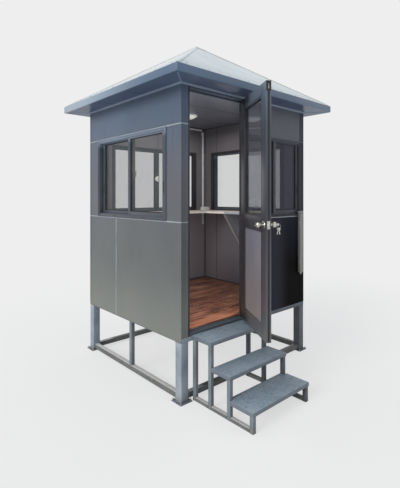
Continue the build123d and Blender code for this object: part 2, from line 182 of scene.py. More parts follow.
def ringPiece(name, low, high, face, depth, width=0, segments=2):  # a flat rim in the XZ plane, its front at low's Y
    piece = pickFaces(planePiece(name, high[0] - low[0], high[2] - low[2]))
    bpy.ops.mesh.inset(thickness=face)
    bpy.ops.mesh.delete(type="FACE")
    leave()
    modify(piece, "SOLIDIFY", thickness=depth, offset=-1, use_even_offset=True)
    moved(piece, shift((low[0] + high[0]) / 2, low[1], (low[2] + high[2]) / 2) @ spun(90, "X"))
    return roundOff(piece, width, segments) if width else piece


def turned(name, profile, sides=32):  # a lathe-like form about Z from (radius, height) pairs
    clearAll()
    bpy.ops.mesh.primitive_circle_add(vertices=sides, radius=profile[0][0], fill_type="NGON")
    piece = pickFaces(bpy.context.object)
    bpy.ops.transform.translate(value=(0, 0, profile[0][1]))
    for (radius, height), (nextRadius, nextHeight) in zip(profile, profile[1:]):
        bpy.ops.mesh.extrude_region_move(TRANSFORM_OT_translate={"value": (0, 0, nextHeight - height)})
        ratio = nextRadius / radius
        bpy.ops.transform.resize(value=(ratio, ratio, 1), center_override=(0, 0, nextHeight))
    bpy.ops.mesh.select_all(action="SELECT")
    bpy.ops.mesh.normals_make_consistent(inside=False)
    leave()
    return settle(piece, name)


def twin(piece, matrix):
    made = piece.copy()
    made.data = piece.data.copy()
    bpy.context.scene.collection.objects.link(made)
    return moved(made, matrix)


def joined(name, pieces):
    clearAll()
    for piece in pieces:
        piece.select_set(True)
    whole = bpy.context.view_layer.objects.active = pieces[0]
    if len(pieces) > 1:
        bpy.ops.object.join()
    whole.name = whole.data.name = name
    return whole


def repeated(name, piece, matrices):  # one modelled piece set down at every place
    made = [twin(piece, matrix) for matrix in matrices]
    bpy.data.objects.remove(piece)
    return joined(name, made)


def screwHead(radius=0.004, height=0.0016):  # a pan head with a cross in it, its foot at the origin, up Z
    profile = [(radius, 0), (radius, height * 0.35), (radius * 0.8, height * 0.85), (radius * 0.45, height)]
    slit = boxPiece("slit", (-radius * 0.5, -radius * 0.1, height * 0.5), (radius * 0.5, radius * 0.1, height * 1.02))
    other = twin(slit, spun(90))
    return carve(carve(turned("screw", profile, 16), slit), other)


def soften(piece, angle=35):
    choose(piece)
    bpy.ops.object.shade_smooth_by_angle(angle=radians(angle))
    return piece


def hand(piece, body, material):  # gives a finished piece its material, slot and body
    piece.data.materials.clear()
    piece.data.materials.append(material)
    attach(piece, body)
    return piece


def build(name, pieces, material, matrix=Matrix(), body="booth"):  # joins pieces, sets them in place, hands them over
    return hand(moved(joined(name, pieces), matrix), body, material)


# Materials


def tone(red, green, blue):  # a screen colour from 0 to 255, as the linear colour a shader takes
    def linear(value):
        value = value / 255
        return value / 12.92 if value <= 0.04045 else ((value + 0.055) / 1.055) ** 2.4
    return (linear(red), linear(green), linear(blue), 1.0)


class Wire:  # one socket, so that sums on it are written as plain maths
    def __init__(self, paint, socket):
        self.paint = paint
        self.socket = socket

    def maths(self, operation, *terms):
        return self.paint.node("ShaderNodeMath", {"operation": operation}, dict(enumerate(terms)))

    def __add__(self, other):
        return self.maths("ADD", self, other)

    def __sub__(self, other):
        return self.maths("SUBTRACT", self, other)

    def __rsub__(self, other):
        return self.maths("SUBTRACT", other, self)

    def __mul__(self, other):
        return self.maths("MULTIPLY", self, other)

    def most(self, other):
        return self.maths("MAXIMUM", self, other)

    def size(self):
        return self.maths("ABSOLUTE", self)

    def step(self, low, high):  # 0 below low, 1 above high, smooth between; low may be the larger
        return self.paint.node(
            "ShaderNodeMapRange", {"interpolation_type": "SMOOTHSTEP"}, {"Value": self, "From Min": low, "From Max": high})

    __radd__ = __add__


class Paint:
    def __init__(self, name, world=None):
        self.material = world or bpy.data.materials.new(name)
        self.material.use_nodes = True
        self.tree = self.material.node_tree
        self.tree.nodes.clear()
        self.place = self.node("ShaderNodeTexCoord", {}, {}, "Object")

    def node(self, kind, settings, inputs, output=0):
        made = self.tree.nodes.new(kind)
        setAll(made, settings)
        for key, value in inputs.items():
            if isinstance(value, Wire):
                self.tree.links.new(value.socket, made.inputs[key])
            else:
                made.inputs[key].default_value = value
        return Wire(self, made.outputs[output]) if made.outputs else None

    def ramp(self, share, stops):
        wire = self.node("ShaderNodeValToRGB", {}, {"Fac": share})
        elements = wire.socket.node.color_ramp.elements
        while len(elements) < len(stops):
            elements.new(1)
        for element, (position, colour) in zip(elements, stops):
            element.position, element.color = position, colour
        return wire

    def vector(self, operation, *terms, output=0):
        return self.node("ShaderNodeVectorMath", {"operation": operation}, dict(enumerate(terms)), output)

    def along(self, axis, place=None):
        return self.node("ShaderNodeSeparateXYZ", {}, {"Vector": place or self.place}, axis)

    def facing(self, axis):
        return self.along(axis, self.node("ShaderNodeTexCoord", {}, {}, "Normal"))

    def stretched(self, scale):
        return self.vector("MULTIPLY", self.place, scale) if scale else self.place

    def noise(self, scale, detail=3.0, stretch=None, roughness=0.5, place=None, distortion=0.0):
        return self.node("ShaderNodeTexNoise", {}, {
            "Vector": place or self.stretched(stretch), "Scale": scale, "Detail": detail, "Roughness": roughness,
            "Distortion": distortion})

    def cells(self, scale, stretch=None):
        return self.node("ShaderNodeTexVoronoi", {}, {"Vector": self.stretched(stretch), "Scale": scale}, "Distance")

    def mixed(self, share, first, second, blend="MIX"):  # screen colours come as three numbers
        first, second = [tone(*c) if isinstance(c, tuple) and len(c) == 3 else c for c in (first, second)]
        return self.node("ShaderNodeMix", {"data_type": "RGBA", "blend_type": blend}, {0: share, 6: first, 7: second}, 2)

    def cover(self, share, colour):  # lays a share of the colour over what is there
        self.body = self.mixed(share, self.body, colour)

    def paintedShadeFrontRight(self, deep, level):  # the stretch of the front right of the door, up to a level, where shade is painted
        beside = self.along("X").step(left + frontShadeSplit, left + frontShadeSplit + 0.01)
        ahead = self.along("Y").step(front + deep + 0.002, front + deep)
        return beside * ahead * self.along("Z").step(level + 0.004, level - 0.004)

    def finish(self, roughness, height, depth, values={}):  # values names more sockets of the surface shader
        normal = self.node("ShaderNodeBump", {}, {"Height": height, "Distance": depth})
        surface = {"Base Color": self.body, "Roughness": roughness, "Normal": normal, **values}
        shader = self.node("ShaderNodeBsdfPrincipled", {}, surface)
        self.node("ShaderNodeOutputMaterial", {}, {"Surface": shader})
        return self.material


softShade = (0.84, 0.85, 0.86, 1)
# painted shade: the darker tone for the front right of the door, which stands in for its shade
frontShadeTone = (74, 77, 88)
frontShadeSplit = 0.815  # from the left corner to where the front's painted shade starts
aboveAll = 3.5


def coatedSheet(name, colours, dust, roughness=0.42, peel=0.00006, dustTop=1.1, specular=0.5, lining=None,
                liningDepth=0.06, liningPaintedLight=None, dark=(), paintedSheen=None, paintedHingeShade=None, lit=None):
    paint = Paint(name)  # colours run up the booth, each with its level, and soft clouds darken them
    cloud, fine, rain = paint.noise(1.6, 4), paint.noise(34), paint.noise(5, 3, (9, 9, 0.35))
    clouded = cloud.step(0.3, 0.72)
    height = paint.along("Z")
    # dust low down; on the wall slate its pale green also stands in for the ground's reflection, a painted reflection
    grimeAndSheen = (height.step(dustTop, 0.5) * 0.45 + rain.step(0.5, 0.75) * 0.1225) * (cloud * 0.7 + 0.45)
    if isinstance(colours, tuple):
        colours = [(0, colours), (aboveAll, colours)]
    paint.body = paint.ramp(height * (1 / aboveAll), [(level / aboveAll, tone(*colour)) for level, colour in colours])
    paint.cover(clouded, paint.mixed(1.0, paint.body, softShade, "MULTIPLY"))
    paint.cover(grimeAndSheen, dust)
    if lining:  # the sheet on the room side of the same panels
        reachX, reachY = (right - left) / 2 - liningDepth, (back - front) / 2 - liningDepth
        across = (paint.along("X") - (left + right) / 2).size().step(reachX, reachX - 0.002)
        deep = (paint.along("Y") - (front + back) / 2).size().step(reachY, reachY - 0.002)
        inner = paint.mixed(clouded * 0.2, lining, dust)
        if liningPaintedLight:  # painted light: paler under the desk towards the back, where the desk shades the wall
            shaded = paint.along("Y").step(back - 0.65, back - 0.15) * height.step(1.54, 1.5)
            inner = paint.mixed(shaded, inner, liningPaintedLight)
        paint.cover(across * deep, inner)
    for depth, level, colour in dark:  # painted shade: the front right of the door is darker
        paint.cover(paint.paintedShadeFrontRight(depth, level), paint.mixed(clouded * 0.12, colour, dust))
    if lit:  # painted reflection: less dark beside the door, up to the sill
        beside = paint.along("X").step(left + 1.54, left + 1.28) * height.step(1.53, 1.49)
        paint.cover(beside * 0.85, lit)
    if paintedHingeShade:  # painted shade: darker along the stile by the hinges
        flat = paint.vector("MULTIPLY", paint.vector("SUBTRACT", paint.place, hinge), (1, 1, 0))
        paint.cover(paint.vector("LENGTH", flat, output="Value").step(0.3, 0.1) * 0.8, paintedHingeShade)
    if paintedSheen:  # painted sheen: paler towards the back of the left side
        paintedLightMask = paint.along("X").step(left - 0.19, left - 0.21) * paint.along("Y").step(front - 0.1, back)
        paint.cover(paintedLightMask * (cloud * 0.4 + 0.6), paintedSheen)
    marks = paint.cells(60, (1, 1, 0.2)).step(0.05, 0.02) * fine.step(0.55, 0.7)
    paint.cover(marks * 0.25, dust)
    rough = roughness + (cloud - 0.5) * 0.12 + grimeAndSheen * 0.22 + (rain - 0.5) * 0.06
    return paint.finish(rough, paint.noise(420, 2) + paint.noise(2.1, 1) * 6, peel, {"Specular IOR Level": specular})


def weldedPaint(name, colour, shade, chipHeight=0.09, paintedTopLight=None, mottle=0.0, shaded=None, reach=None):
    paint = Paint(name)
    cloud, fine, runs = paint.noise(5, 5), paint.noise(70, 4), paint.noise(16, 3, (3, 3, 0.3))
    scuff = paint.noise(24, 5, None, 0.65)
    foot = paint.along("Z").step(chipHeight, 0.0)
    chips = (scuff + foot * 0.16).step(0.66, 0.72)
    rust = (scuff + foot * 0.14).step(0.71, 0.76)
    paint.body = paint.mixed(cloud.step(0.3, 0.7), colour, shade)
    paint.cover(runs.step(0.55, 0.8) * 0.3, (168, 176, 178))
    paint.cover(chips * 0.75, (150, 156, 158))
    paint.cover(rust * 0.85, (112, 70, 44))
    paint.cover(foot * 0.45, (108, 100, 90))
    up = paint.facing("Z").step(0.6, 0.9)
    if paintedTopLight:  # painted light: pale on what faces up, along the lit left side
        paint.cover(up * (fine * 0.5 + 0.6) * paint.along("X").step(left + 0.3, left + 0.2), paintedTopLight)
    if shaded:  # painted shade: darker at the front right
        beside = paint.along("X").step(left + reach[0], left + reach[1])
        paint.cover(beside * paint.along("Y").step(front + 0.12, front + 0.11) * 0.7, shaded)
    if mottle:  # worn by feet, and painted shade darker down the rims
        worn = paint.noise(46, 4, None, 0.6)
        paint.cover(up * worn.step(0.42, 0.66) * mottle, (150, 160, 168))
        paint.cover(up * worn.step(0.46, 0.3) * mottle, (62, 70, 78))
        paint.cover((1 - up) * 0.75, (86, 92, 99))
    rough = 0.46 + (cloud - 0.5) * 0.25 + chips * 0.15 + rust * 0.25
    relief = fine * 0.5 + runs * 0.8 - chips * 0.6
    return paint.finish(rough, relief, 0.0006, {"Metallic": chips * (1 - rust) * 0.5})


def rolledAluminium(name, colour, painted=None):
    paint = Paint(name)
    lines, cloud = paint.noise(90, 2), paint.noise(7, 4)
    paint.body = paint.mixed(cloud.step(0.35, 0.75) * 0.6, colour, (120, 126, 130))
    metal = 0.75
    if painted:  # painted shade: the strip over the front window takes the front panel's painted shade
        over = paint.paintedShadeFrontRight(0.004, 3.0) * paint.along("Z").step(2.2, 2.3)
        paint.cover(over, painted)
        metal = metal - over * metal
    return paint.finish(0.36 + (lines - 0.5) * 0.25 + cloud * 0.08, lines, 0.00012, {"Metallic": metal})


def roofSheet():
    paint = Paint("paleRoofSheet")
    cloud, fine, blotch = paint.noise(1.3, 5), paint.noise(26, 4), paint.noise(3.4, 6, None, 0.62)
    eave = paint.along("Z").step(2.95, 2.77)
    paint.body = paint.mixed(cloud.step(0.3, 0.7), (218, 227, 230), (190, 204, 211))
    paint.cover(blotch.step(0.56, 0.78) * 0.35, (170, 182, 190))
    # painted shade: the slopes that face left are darker
    paint.cover(paint.facing("X").step(-0.1, -0.3) * 0.6, (192, 200, 205))
    paint.cover(eave * fine.step(0.4, 0.7) * 0.4, (150, 158, 160))
    rough = 0.34 + (blotch - 0.5) * 0.25 + eave * 0.15
    return paint.finish(rough, paint.noise(2.4, 2) * 4 + fine * 0.3, 0.0012)


plastic = {"cloud": (9, 4), "step": (0.35, 0.8), "share": 0.7, "vary": 0.12, "relief": (260, 2), "depth": 0.00008}
metal = {"cloud": (30, 4), "step": (0.4, 0.75), "share": 0.6, "vary": 0.16, "relief": (160, 2, (1, 1, 8)), "depth": 0.00004,
         "values": {"Metallic": 1.0}}
rubbery = {"cloud": (12,), "step": (0.45, 0.8), "share": 0.5, "vary": 0.2, "relief": (220,), "depth": 0.0001}
opal = {"cloud": (14,), "step": (0.4, 0.8), "share": 0.4, "vary": 0.05, "relief": (300, 2), "depth": 0.00005,
        "values": {"Emission Color": tone(255, 250, 240), "Emission Strength": 0.25}}


def plainFinish(name, kind, colour, shade, roughness):
    paint = Paint(name)
    cloud = paint.noise(*kind["cloud"])
    paint.body = paint.mixed(cloud.step(*kind["step"]) * kind["share"], colour, shade)
    rough = roughness + (cloud - 0.5) * kind["vary"]
    return paint.finish(rough, paint.noise(*kind["relief"]), kind["depth"], kind.get("values", {}))


def clearPane(name, tint, dust, cover, paintedShadeTint=None):
    paint = Paint(name)
    dusty = paint.noise(3.2, 5, (1, 1, 0.6), 0.6).step(0.5, 0.8)
    paint.body = paint.mixed(dusty, tint, dust)
    alpha = cover + dusty * 0.06 + paint.cells(55).step(0.06, 0.02) * 0.05
    if paintedShadeTint:  # painted shade: the front window's glass is darker
        dim = paint.paintedShadeFrontRight(0.09, 3.0)
        paint.cover(dim, paintedShadeTint)
        alpha = alpha + dim * 0.34
    surface = {"Base Color": paint.body, "Roughness": 0.03 + dusty * 0.06, "Metallic": 0.85, "Alpha": alpha}
    paint.node("ShaderNodeOutputMaterial", {}, {"Surface": paint.node("ShaderNodeBsdfPrincipled", {}, surface)})
    return paint.material


def laminateFloor():
    paint = Paint("laminateFloor")
    board = paint.node("ShaderNodeAttribute", {"attribute_name": "board"}, {}, "Fac")
    apart = paint.node("ShaderNodeCombineXYZ", {}, {"X": board * 7.3, "Y": board * 3.1, "Z": board})
    long = paint.vector("MULTIPLY", paint.vector("ADD", paint.place, apart), (1.0, 9.0, 1.0))
    grain = paint.noise(4.5, 6, place=long, distortion=0.7)
    pores = paint.noise(34, 3, place=long)
    streaky = paint.noise(1.9, 4, place=long, distortion=1.2)
    paint.body = paint.mixed(grain.step(0.34, 0.68), (110, 66, 48), (172, 122, 98))
    paint.cover(board.step(0.45, 1.0) * 0.75, (92, 56, 44))
    paint.cover(streaky.step(0.52, 0.66) * 0.8, (66, 42, 36))
    paint.cover(pores.step(0.6, 0.72) * 0.5, (70, 42, 34))
    worn = paint.noise(2.2, 4).step(0.5, 0.75)
    paint.cover(worn * 0.35, (190, 148, 124))
    paintedLightMask = paint.along("Y").step(front + 0.5, front + 0.1) * streaky.step(0.56, 0.4)  # painted light: warm and pale by the doorway
    paint.cover(paintedLightMask * 0.5, (208, 134, 98))
    return paint.finish(0.3 + worn * 0.22 + pores * 0.08, pores * 0.5 + grain * 0.5, 0.0003)


def deskBoard():
    paint = Paint("beigeDeskBoard")
    speck, cloud = paint.noise(190), paint.noise(3, 4)
    paint.body = paint.mixed(speck.step(0.35, 0.65), (166, 156, 144), (186, 178, 168))
    paint.cover(cloud.step(0.5, 0.8) * 0.4, (146, 136, 124))
    return paint.finish(0.42 + (cloud - 0.5) * 0.2, speck, 0.00006)


# painted reflection and shade: greenish low for the ground's reflection, bluish at the top for the eave's shade;
# painted shade on the front right, painted light under the desk
slate = coatedSheet(
    "wallSlate", [(0.5, (101, 104, 99)), (1.2, (88, 92, 92)), (1.9, (90, 91, 98)), (2.45, (75, 91, 110))], (128, 131, 124),
    lining=(101, 97, 103), liningPaintedLight=(138, 131, 135), dark=[(0.004, 3.0, frontShadeTone), (0.004, 1.53, (24, 23, 25))])
# painted shade and reflection: the front wall right of the door is near black below the sill and dark above it
darkPanel = coatedSheet(
    "darkFrontPanel", [(0.5, (12, 10, 9)), (1.0, (12, 10, 10)), (1.5, (34, 36, 46)), (1.54, (62, 64, 72)),
                       (2.34, (62, 64, 72)), (2.38, frontShadeTone)],
    (26, 23, 21), 0.55, dustTop=0.7, specular=0.04, lit=(54, 54, 62))
# painted shade: the front window's frame is darker, standing in for the shade on the front right of the door
darkFrame = coatedSheet(
    "darkFrontFrame", [(1.5, (50, 52, 60)), (2.3, (58, 60, 69)), (2.33, frontShadeTone)],
    (60, 60, 66), 0.5, dustTop=0.7, specular=0.15)
# painted shade: the leaf is darker along its hinge stile
doorSlate = coatedSheet(
    "doorSlate", [(0.6, (88, 88, 92)), (1.5, (62, 62, 69)), (2.3, (64, 70, 80)), (2.6, (88, 101, 114))],
    (96, 94, 92), 0.32, dustTop=0.8, paintedHingeShade=(38, 37, 42))
doorPanel = coatedSheet("doorPanel", [(0.6, (134, 126, 126)), (1.4, (126, 125, 134))], (140, 134, 128), 0.34, dustTop=0.8)
# painted highlight and shade: a pale head for its highlight, a dark room side for the shade in the reveals, darker
# front sashes
windowGrey = coatedSheet(
    "windowGrey", [(1.5, (75, 78, 85)), (2.27, (58, 70, 82)), (2.31, (108, 120, 136))], (104, 106, 104), 0.38,
    dustTop=0.6, specular=0.35, lining=(44, 41, 42), liningDepth=0.045, dark=[(0.09, 3.0, (52, 54, 63))])
roomDark = coatedSheet("roomTrimDark", [(0.6, (72, 68, 70)), (2.7, (72, 70, 74))], (84, 80, 78), 0.45, dustTop=0.7)
darkTrim = coatedSheet(
    "darkTrim", [(0.6, (48, 47, 51)), (2.3, (42, 44, 52)), (2.7, (54, 62, 76))], (78, 75, 72), 0.4, dustTop=0.7,
    specular=0.35)
sillBlue = coatedSheet("sillBlue", [(0.5, (52, 68, 81)), (0.6, (56, 70, 82))], (96, 98, 96), 0.38, dustTop=0.8)
soffitNavy = coatedSheet("soffitNavy", (84, 98, 124), (100, 110, 130), 0.31, 0.000004, dustTop=0.6, specular=0.2)
soffitSeam = coatedSheet("soffitSeam", (122, 138, 160), (130, 138, 150), 0.34, dustTop=0.6)
# painted sheen: the fascia is paler towards the back of the left side
fasciaBlue = coatedSheet("fasciaBlue", (84, 104, 127), (132, 142, 150), 0.36, dustTop=0.6, paintedSheen=(150, 164, 178))
trimPale = coatedSheet("trimPale", (150, 162, 180), (150, 154, 160), 0.4, dustTop=0.6)
ceilingGrey = coatedSheet("ceilingGrey", (108, 111, 122), (122, 120, 120), 0.32, 0.00002, dustTop=0.6)
underGrey = coatedSheet("underGrey", (112, 114, 114), (128, 122, 112), 0.55, dustTop=0.8)
bracketGrey = coatedSheet("bracketGrey", (176, 180, 190), (150, 148, 148), 0.4, dustTop=0.6)
foldGrey = coatedSheet(
    "bracketFoldGrey", [(1.1, (160, 154, 153)), (1.6, (160, 156, 156))], (140, 136, 132), 0.4, dustTop=0.6)
capGrey = coatedSheet("capGrey", (186, 192, 196), (150, 152, 150), 0.4, dustTop=0.6)
meterEnamel = coatedSheet("meterEnamel", [(0.9, (136, 133, 129)), (1.6, (130, 130, 129))], (100, 96, 90), 0.45, dustTop=1.2)
# painted shade darkens the stand's and the steps' legs at the front right
standPaint = weldedPaint("standPaint", (148, 157, 166), (118, 131, 142), shaded=(56, 58, 62), reach=(0.84, 0.9))
# painted light and shade: dark sides for shade and dirt, pale tops along the left for light
tiePaint = weldedPaint("tiePaint", (104, 106, 106), (90, 90, 88), 0.0, (222, 222, 218))
platePaint = weldedPaint("platePaint", (112, 117, 124), (88, 95, 103), 0.0)
stepPaint = weldedPaint("stepPaint", (116, 126, 132), (96, 105, 112), 0.06, shaded=(56, 58, 60), reach=(0.7, 0.75))
treadPaint = weldedPaint("treadPaint", (139, 155, 168), (122, 138, 152), 0.0, None, 0.45)
silver = rolledAluminium("jointSilver", (176, 184, 190), frontShadeTone)
dripSilver = rolledAluminium("dripSilver", (120, 123, 123))
roofPale = roofSheet()
# painted shade: the front window's glass is darker
pane = clearPane("clearPane", (120, 128, 132), (150, 150, 146), 0.17, (62, 64, 76))
doorPane = clearPane("doorPane", (168, 174, 184), (178, 180, 182), 0.21)
planks = laminateFloor()
deskBeige = deskBoard()
rubber = plainFinish("blackRubber", rubbery, (28, 28, 30), (58, 58, 58), 0.7)
steel = plainFinish("polishedSteel", metal, (206, 204, 196), (170, 168, 160), 0.22)
zinc = plainFinish("zincBolt", metal, (172, 174, 172), (128, 128, 124), 0.4)
whitePlastic = plainFinish("whitePlastic", plastic, (218, 220, 220), (200, 202, 200), 0.45)
latchWhite = plainFinish("latchWhite", plastic, (236, 236, 232), (218, 218, 212), 0.35)
# painted light: the desk edging is much paler than the board, to make up for the shade it sits in
deskEdge = plainFinish("deskEdge", plastic, (222, 214, 206), (206, 198, 190), 0.4)
lampWhite = plainFinish("opalDiffuser", opal, (240, 240, 236), (222, 222, 216), 0.375)
print("materials", len(bpy.data.materials))

slotFinish = {
    "stand_paint": standPaint, "floor_underside": underGrey, "wood_floor": planks, "dark_trim": darkTrim,
    "wall_slate": slate, "joint_silver": silver, "window_grey": windowGrey, "clear_glass": pane,
    "latch_white": latchWhite, "steel_fittings": steel, "door_slate": doorSlate, "ceiling_grey": ceilingGrey,
    "soffit_navy": soffitNavy, "fascia_blue": fasciaBlue, "roof_white": roofPale, "roof_cap_grey": capGrey,
    "desk_beige": deskBeige, "bracket_grey": bracketGrey, "lamp_white": lampWhite, "white_plastic": whitePlastic,
    "meter_grey": meterEnamel, "step_paint": stepPaint}
nodeFinish = {
    "front_wall_lower": darkPanel, "door_lower_panel": doorPanel, "door_glass": doorPane, "tie_beams": tiePaint,
    "step_runners": tiePaint, "base_plates": platePaint, "step_treads": treadPaint, "stand_posts": stepPaint,
    "threshold": sillBlue, "front_window_frame": darkFrame}
slotOf = {entry["node"]: entry["material_slot"] for entry in frame["record"]["subparts"]}
for name, slot in slotOf.items():
    nodes[name].data.materials.clear()
    nodes[name].data.materials.append(nodeFinish.get(name, slotFinish[slot]))

# Sections and boards get their rolled corners: each is a rounded copy of its solid

cornerWidths = {
    "stand_legs": 0.006, "tie_beams": 0.005, "stand_posts": 0.004, "step_legs": 0.004, "step_runners": 0.0035,
    "floor_frame": 0.004, "base_plates": 0.0012, "step_treads": 0.0025, "fascia_boards": 0.0018, "door_frame": 0.0012,
    "door_leaf_frame": 0.0014, "left_window_frame": 0.0012, "right_window_frame": 0.0012, "back_window_frame": 0.0012,
    "front_window_frame": 0.0012, "window_sashes": 0.0014, "meter_box": 0.0016, "threshold": 0.0012, "roof_cap": 0.001}
tubes = ("stand_legs", "tie_beams", "stand_posts", "step_legs", "step_runners", "floor_frame")
for name, width in cornerWidths.items():
    rounded = bpy.data.objects.new(name + "_rounded", nodes[name].data.copy())
    bpy.context.scene.collection.objects.link(rounded)
    pickFaces(rounded)
    bpy.ops.mesh.remove_doubles(threshold=0.00001)
    bpy.ops.mesh.dissolve_limited(angle_limit=radians(0.5))
    bpy.ops.mesh.select_mode(type="EDGE")
    bpy.ops.mesh.select_all(action="DESELECT")
    leave()
    if name in tubes:  # rounded along their length only
        points = rounded.data.vertices
        for bar in rounded.data.edges:
            bar.select = (points[bar.vertices[0]].co - points[bar.vertices[1]].co).length > 0.09
        bpy.ops.object.mode_set(mode="EDIT")
        bpy.ops.mesh.bevel(offset=width, segments=3, affect="EDGES")
        leave()
    else:
        roundOff(rounded, width)
    hand(soften(rounded), "door" if name == "door_leaf_frame" else "booth", nodes[name].data.materials[0])
    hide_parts(name)
print("rounded", len(cornerWidths))

# Places on the booth

home = shift(left, front, 0)  # pieces are laid out from the booth's near left corner
sides = {  # each wall as seen from outside: X to the right, Y inwards
    "front": home, "left": shift(left, back, 0) @ spun(-90), "right": shift(right, front, 0) @ spun(90),
    "back": shift(right, back, 0) @ spun(180)}
sideLength = {"front": right - left, "back": right - left, "left": back - front, "right": back - front}
swing = shift(hinge.x, hinge.y, 0) @ spun(-doorJoint["range_deg"][0]) @ shift(-hinge.x, -hinge.y, 0) @ home  # on the leaf


def boxIn(node, matrix):  # a node's box measured in a turned frame
    turn = matrix.inverted()
    points = [turn @ vertex.co for vertex in nodes[node].data.vertices]
    return [Vector([pick(p[i] for p in points) for i in range(3)]) for pick in (min, max)]


# Camera, light and floor

view = {"place": (-2.9738, -3.13425, 1.7397), "turn": 41.96, "focal": 391.7442, "rows": 488, "horizon": 196.596}
bpy.ops.object.camera_add(location=view["place"], rotation=(pi / 2, 0, -radians(view["turn"])))
camera = bpy.context.object
setAll(camera.data, {
    "sensor_width": 36, "lens": view["focal"] * 36 / view["rows"], "clip_end": 200,
    "shift_y": (view["horizon"] - view["rows"] / 2) / view["rows"]})
bpy.context.scene.camera = camera

light = {"toSun": (-0.88, -0.08, 0.38), "sun": 2.0, "width": 26, "fill": 0.64, "backdrop": tone(238, 238, 238)}
bpy.ops.object.light_add(type="SUN", rotation=Vector(light["toSun"]).to_track_quat("Z", "Y").to_euler())
setAll(bpy.context.object.data, {"energy": light["sun"], "angle": radians(light["width"]), "color": (1.0, 0.985, 0.96)})
lamps = (  # the ceiling lamp, daylight in the doorway, what floor and walls throw back under the desk
    ("AREA", (0, (front + back) / 2, 2.62), 0, {"energy": 11.0, "size": 1.1, "color": (1.0, 0.96, 0.93)}),
    ("AREA", (left + 0.453, front - 0.02, 1.65), pi / 2, {"energy": 7.8, "shape": "RECTANGLE", "size": 0.7, "size_y": 2.0}),
    ("POINT", (left + 1.15, back - 0.62, 1.0), 0, {"energy": 1.3, "shadow_soft_size": 0.25}))
for kind, place, tilt, settings in lamps:
    bpy.ops.object.light_add(type=kind, location=place, rotation=(tilt, 0, 0))
    lamp = bpy.context.object
    setAll(lamp.data, settings)
    setAll(lamp, {"visible_camera": False, "visible_glossy": False, "visible_transmission": False})

world = bpy.data.worlds.new("paleStudio")
bpy.context.scene.world = world
sky = Paint("paleStudio", world)
seen = 0
for ray in ("Is Camera Ray", "Is Glossy Ray", "Is Transmission Ray"):  # what looks at the backdrop sees it as written
    seen = sky.node("ShaderNodeLightPath", {}, {}, ray).most(seen)
fill = (light["fill"] * 0.96, light["fill"] * 0.99, light["fill"] * 1.04, 1)
backdrop = sky.node("ShaderNodeBackground", {}, {"Color": sky.mixed(seen, fill, light["backdrop"])})
sky.node("ShaderNodeOutputWorld", {}, {"Surface": backdrop})

clearAll()
bpy.ops.mesh.primitive_plane_add(size=90, location=(0, 0, -0.002))
floor = settle(bpy.context.object, "pale_floor")
floorPaint = Paint("paleFloor")
ground = floorPaint.node("ShaderNodeBsdfDiffuse", {}, {"Color": tone(246, 246, 246)})
plain = floorPaint.node("ShaderNodeEmission", {}, {"Color": light["backdrop"]})
far = floorPaint.vector("LENGTH", floorPaint.place, output="Value").step(1.6, 6.0)
looked = floorPaint.node("ShaderNodeLightPath", {}, {}, "Is Camera Ray")  # the floor runs into the backdrop with distance
both = floorPaint.node("ShaderNodeMixShader", {}, {0: looked * (far * 0.28 + 0.72), 1: ground, 2: plain})
floorPaint.node("ShaderNodeOutputMaterial", {}, {"Surface": both})
floor.data.materials.append(floorPaint.material)
bpy.context.scene.view_settings.view_transform = "Standard"
print("camera, light and floor")

# Roof and eaves

roofLow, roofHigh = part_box("roof_sheets")
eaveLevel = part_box("fascia_boards")[1].z
peak = Vector(((roofLow.x + roofHigh.x) / 2, (roofLow.y + roofHigh.y) / 2, roofHigh.z))
eaveCorners = [Vector((x, y, eaveLevel)) for x, y in (
    (roofLow.x, roofLow.y), (roofHigh.x, roofLow.y), (roofHigh.x, roofHigh.y), (roofLow.x, roofHigh.y))]

hipCap = {"from": 0.017, "to": 0.985, "wide": 0.036, "rise": 0.0022, "slope": 0.325, "thick": 0.001}
hips = []
for corner in eaveCorners:  # a folded cap strip lies over each hip
    run = peak - corner
    start, stop = corner + run * hipCap["from"], corner + run * hipCap["to"]
    strip = pickFaces(planePiece("hip_cap", (stop - start).length, hipCap["wide"]))
    bpy.ops.mesh.subdivide(number_cuts=3)
    leave()
    for vertex in strip.data.vertices:
        vertex.co.z = -abs(vertex.co.y) * hipCap["slope"] + hipCap["rise"]
    modify(strip, "SOLIDIFY", thickness=hipCap["thick"], offset=-1)
    along = run.normalized()
    across = Vector((0, 0, 1)).cross(along).normalized()
    hips.append(moved(strip, Matrix.Translation((start + stop) / 2) @ framed(along, across, along.cross(across))))
build("hip_caps", hips, roofPale)

screwRow = {"count": 9, "up": 0.05, "sunk": 0.0005}
screw = rodPiece("roof_screw", 0.006, (0, 0, 0), (0, 0, 0.0035), 8)
insetFaces(screw, facing(0, 0, 1), 0.0022, 0.0012)
places = []
for a, b in zip(eaveCorners, eaveCorners[1:] + eaveCorners[:1]):
    along, slope = (b - a).normalized(), (peak - (a + b) / 2).normalized()
    out = along.cross(slope)
    for number in range(screwRow["count"]):
        spot = a.lerp(b, (number + 0.5) / screwRow["count"]) + slope * screwRow["up"] - out * screwRow["sunk"]
        places.append(Matrix.Translation(spot) @ framed(along, slope, out))
hand(repeated("roof_screws", screw, places), "booth", zinc)

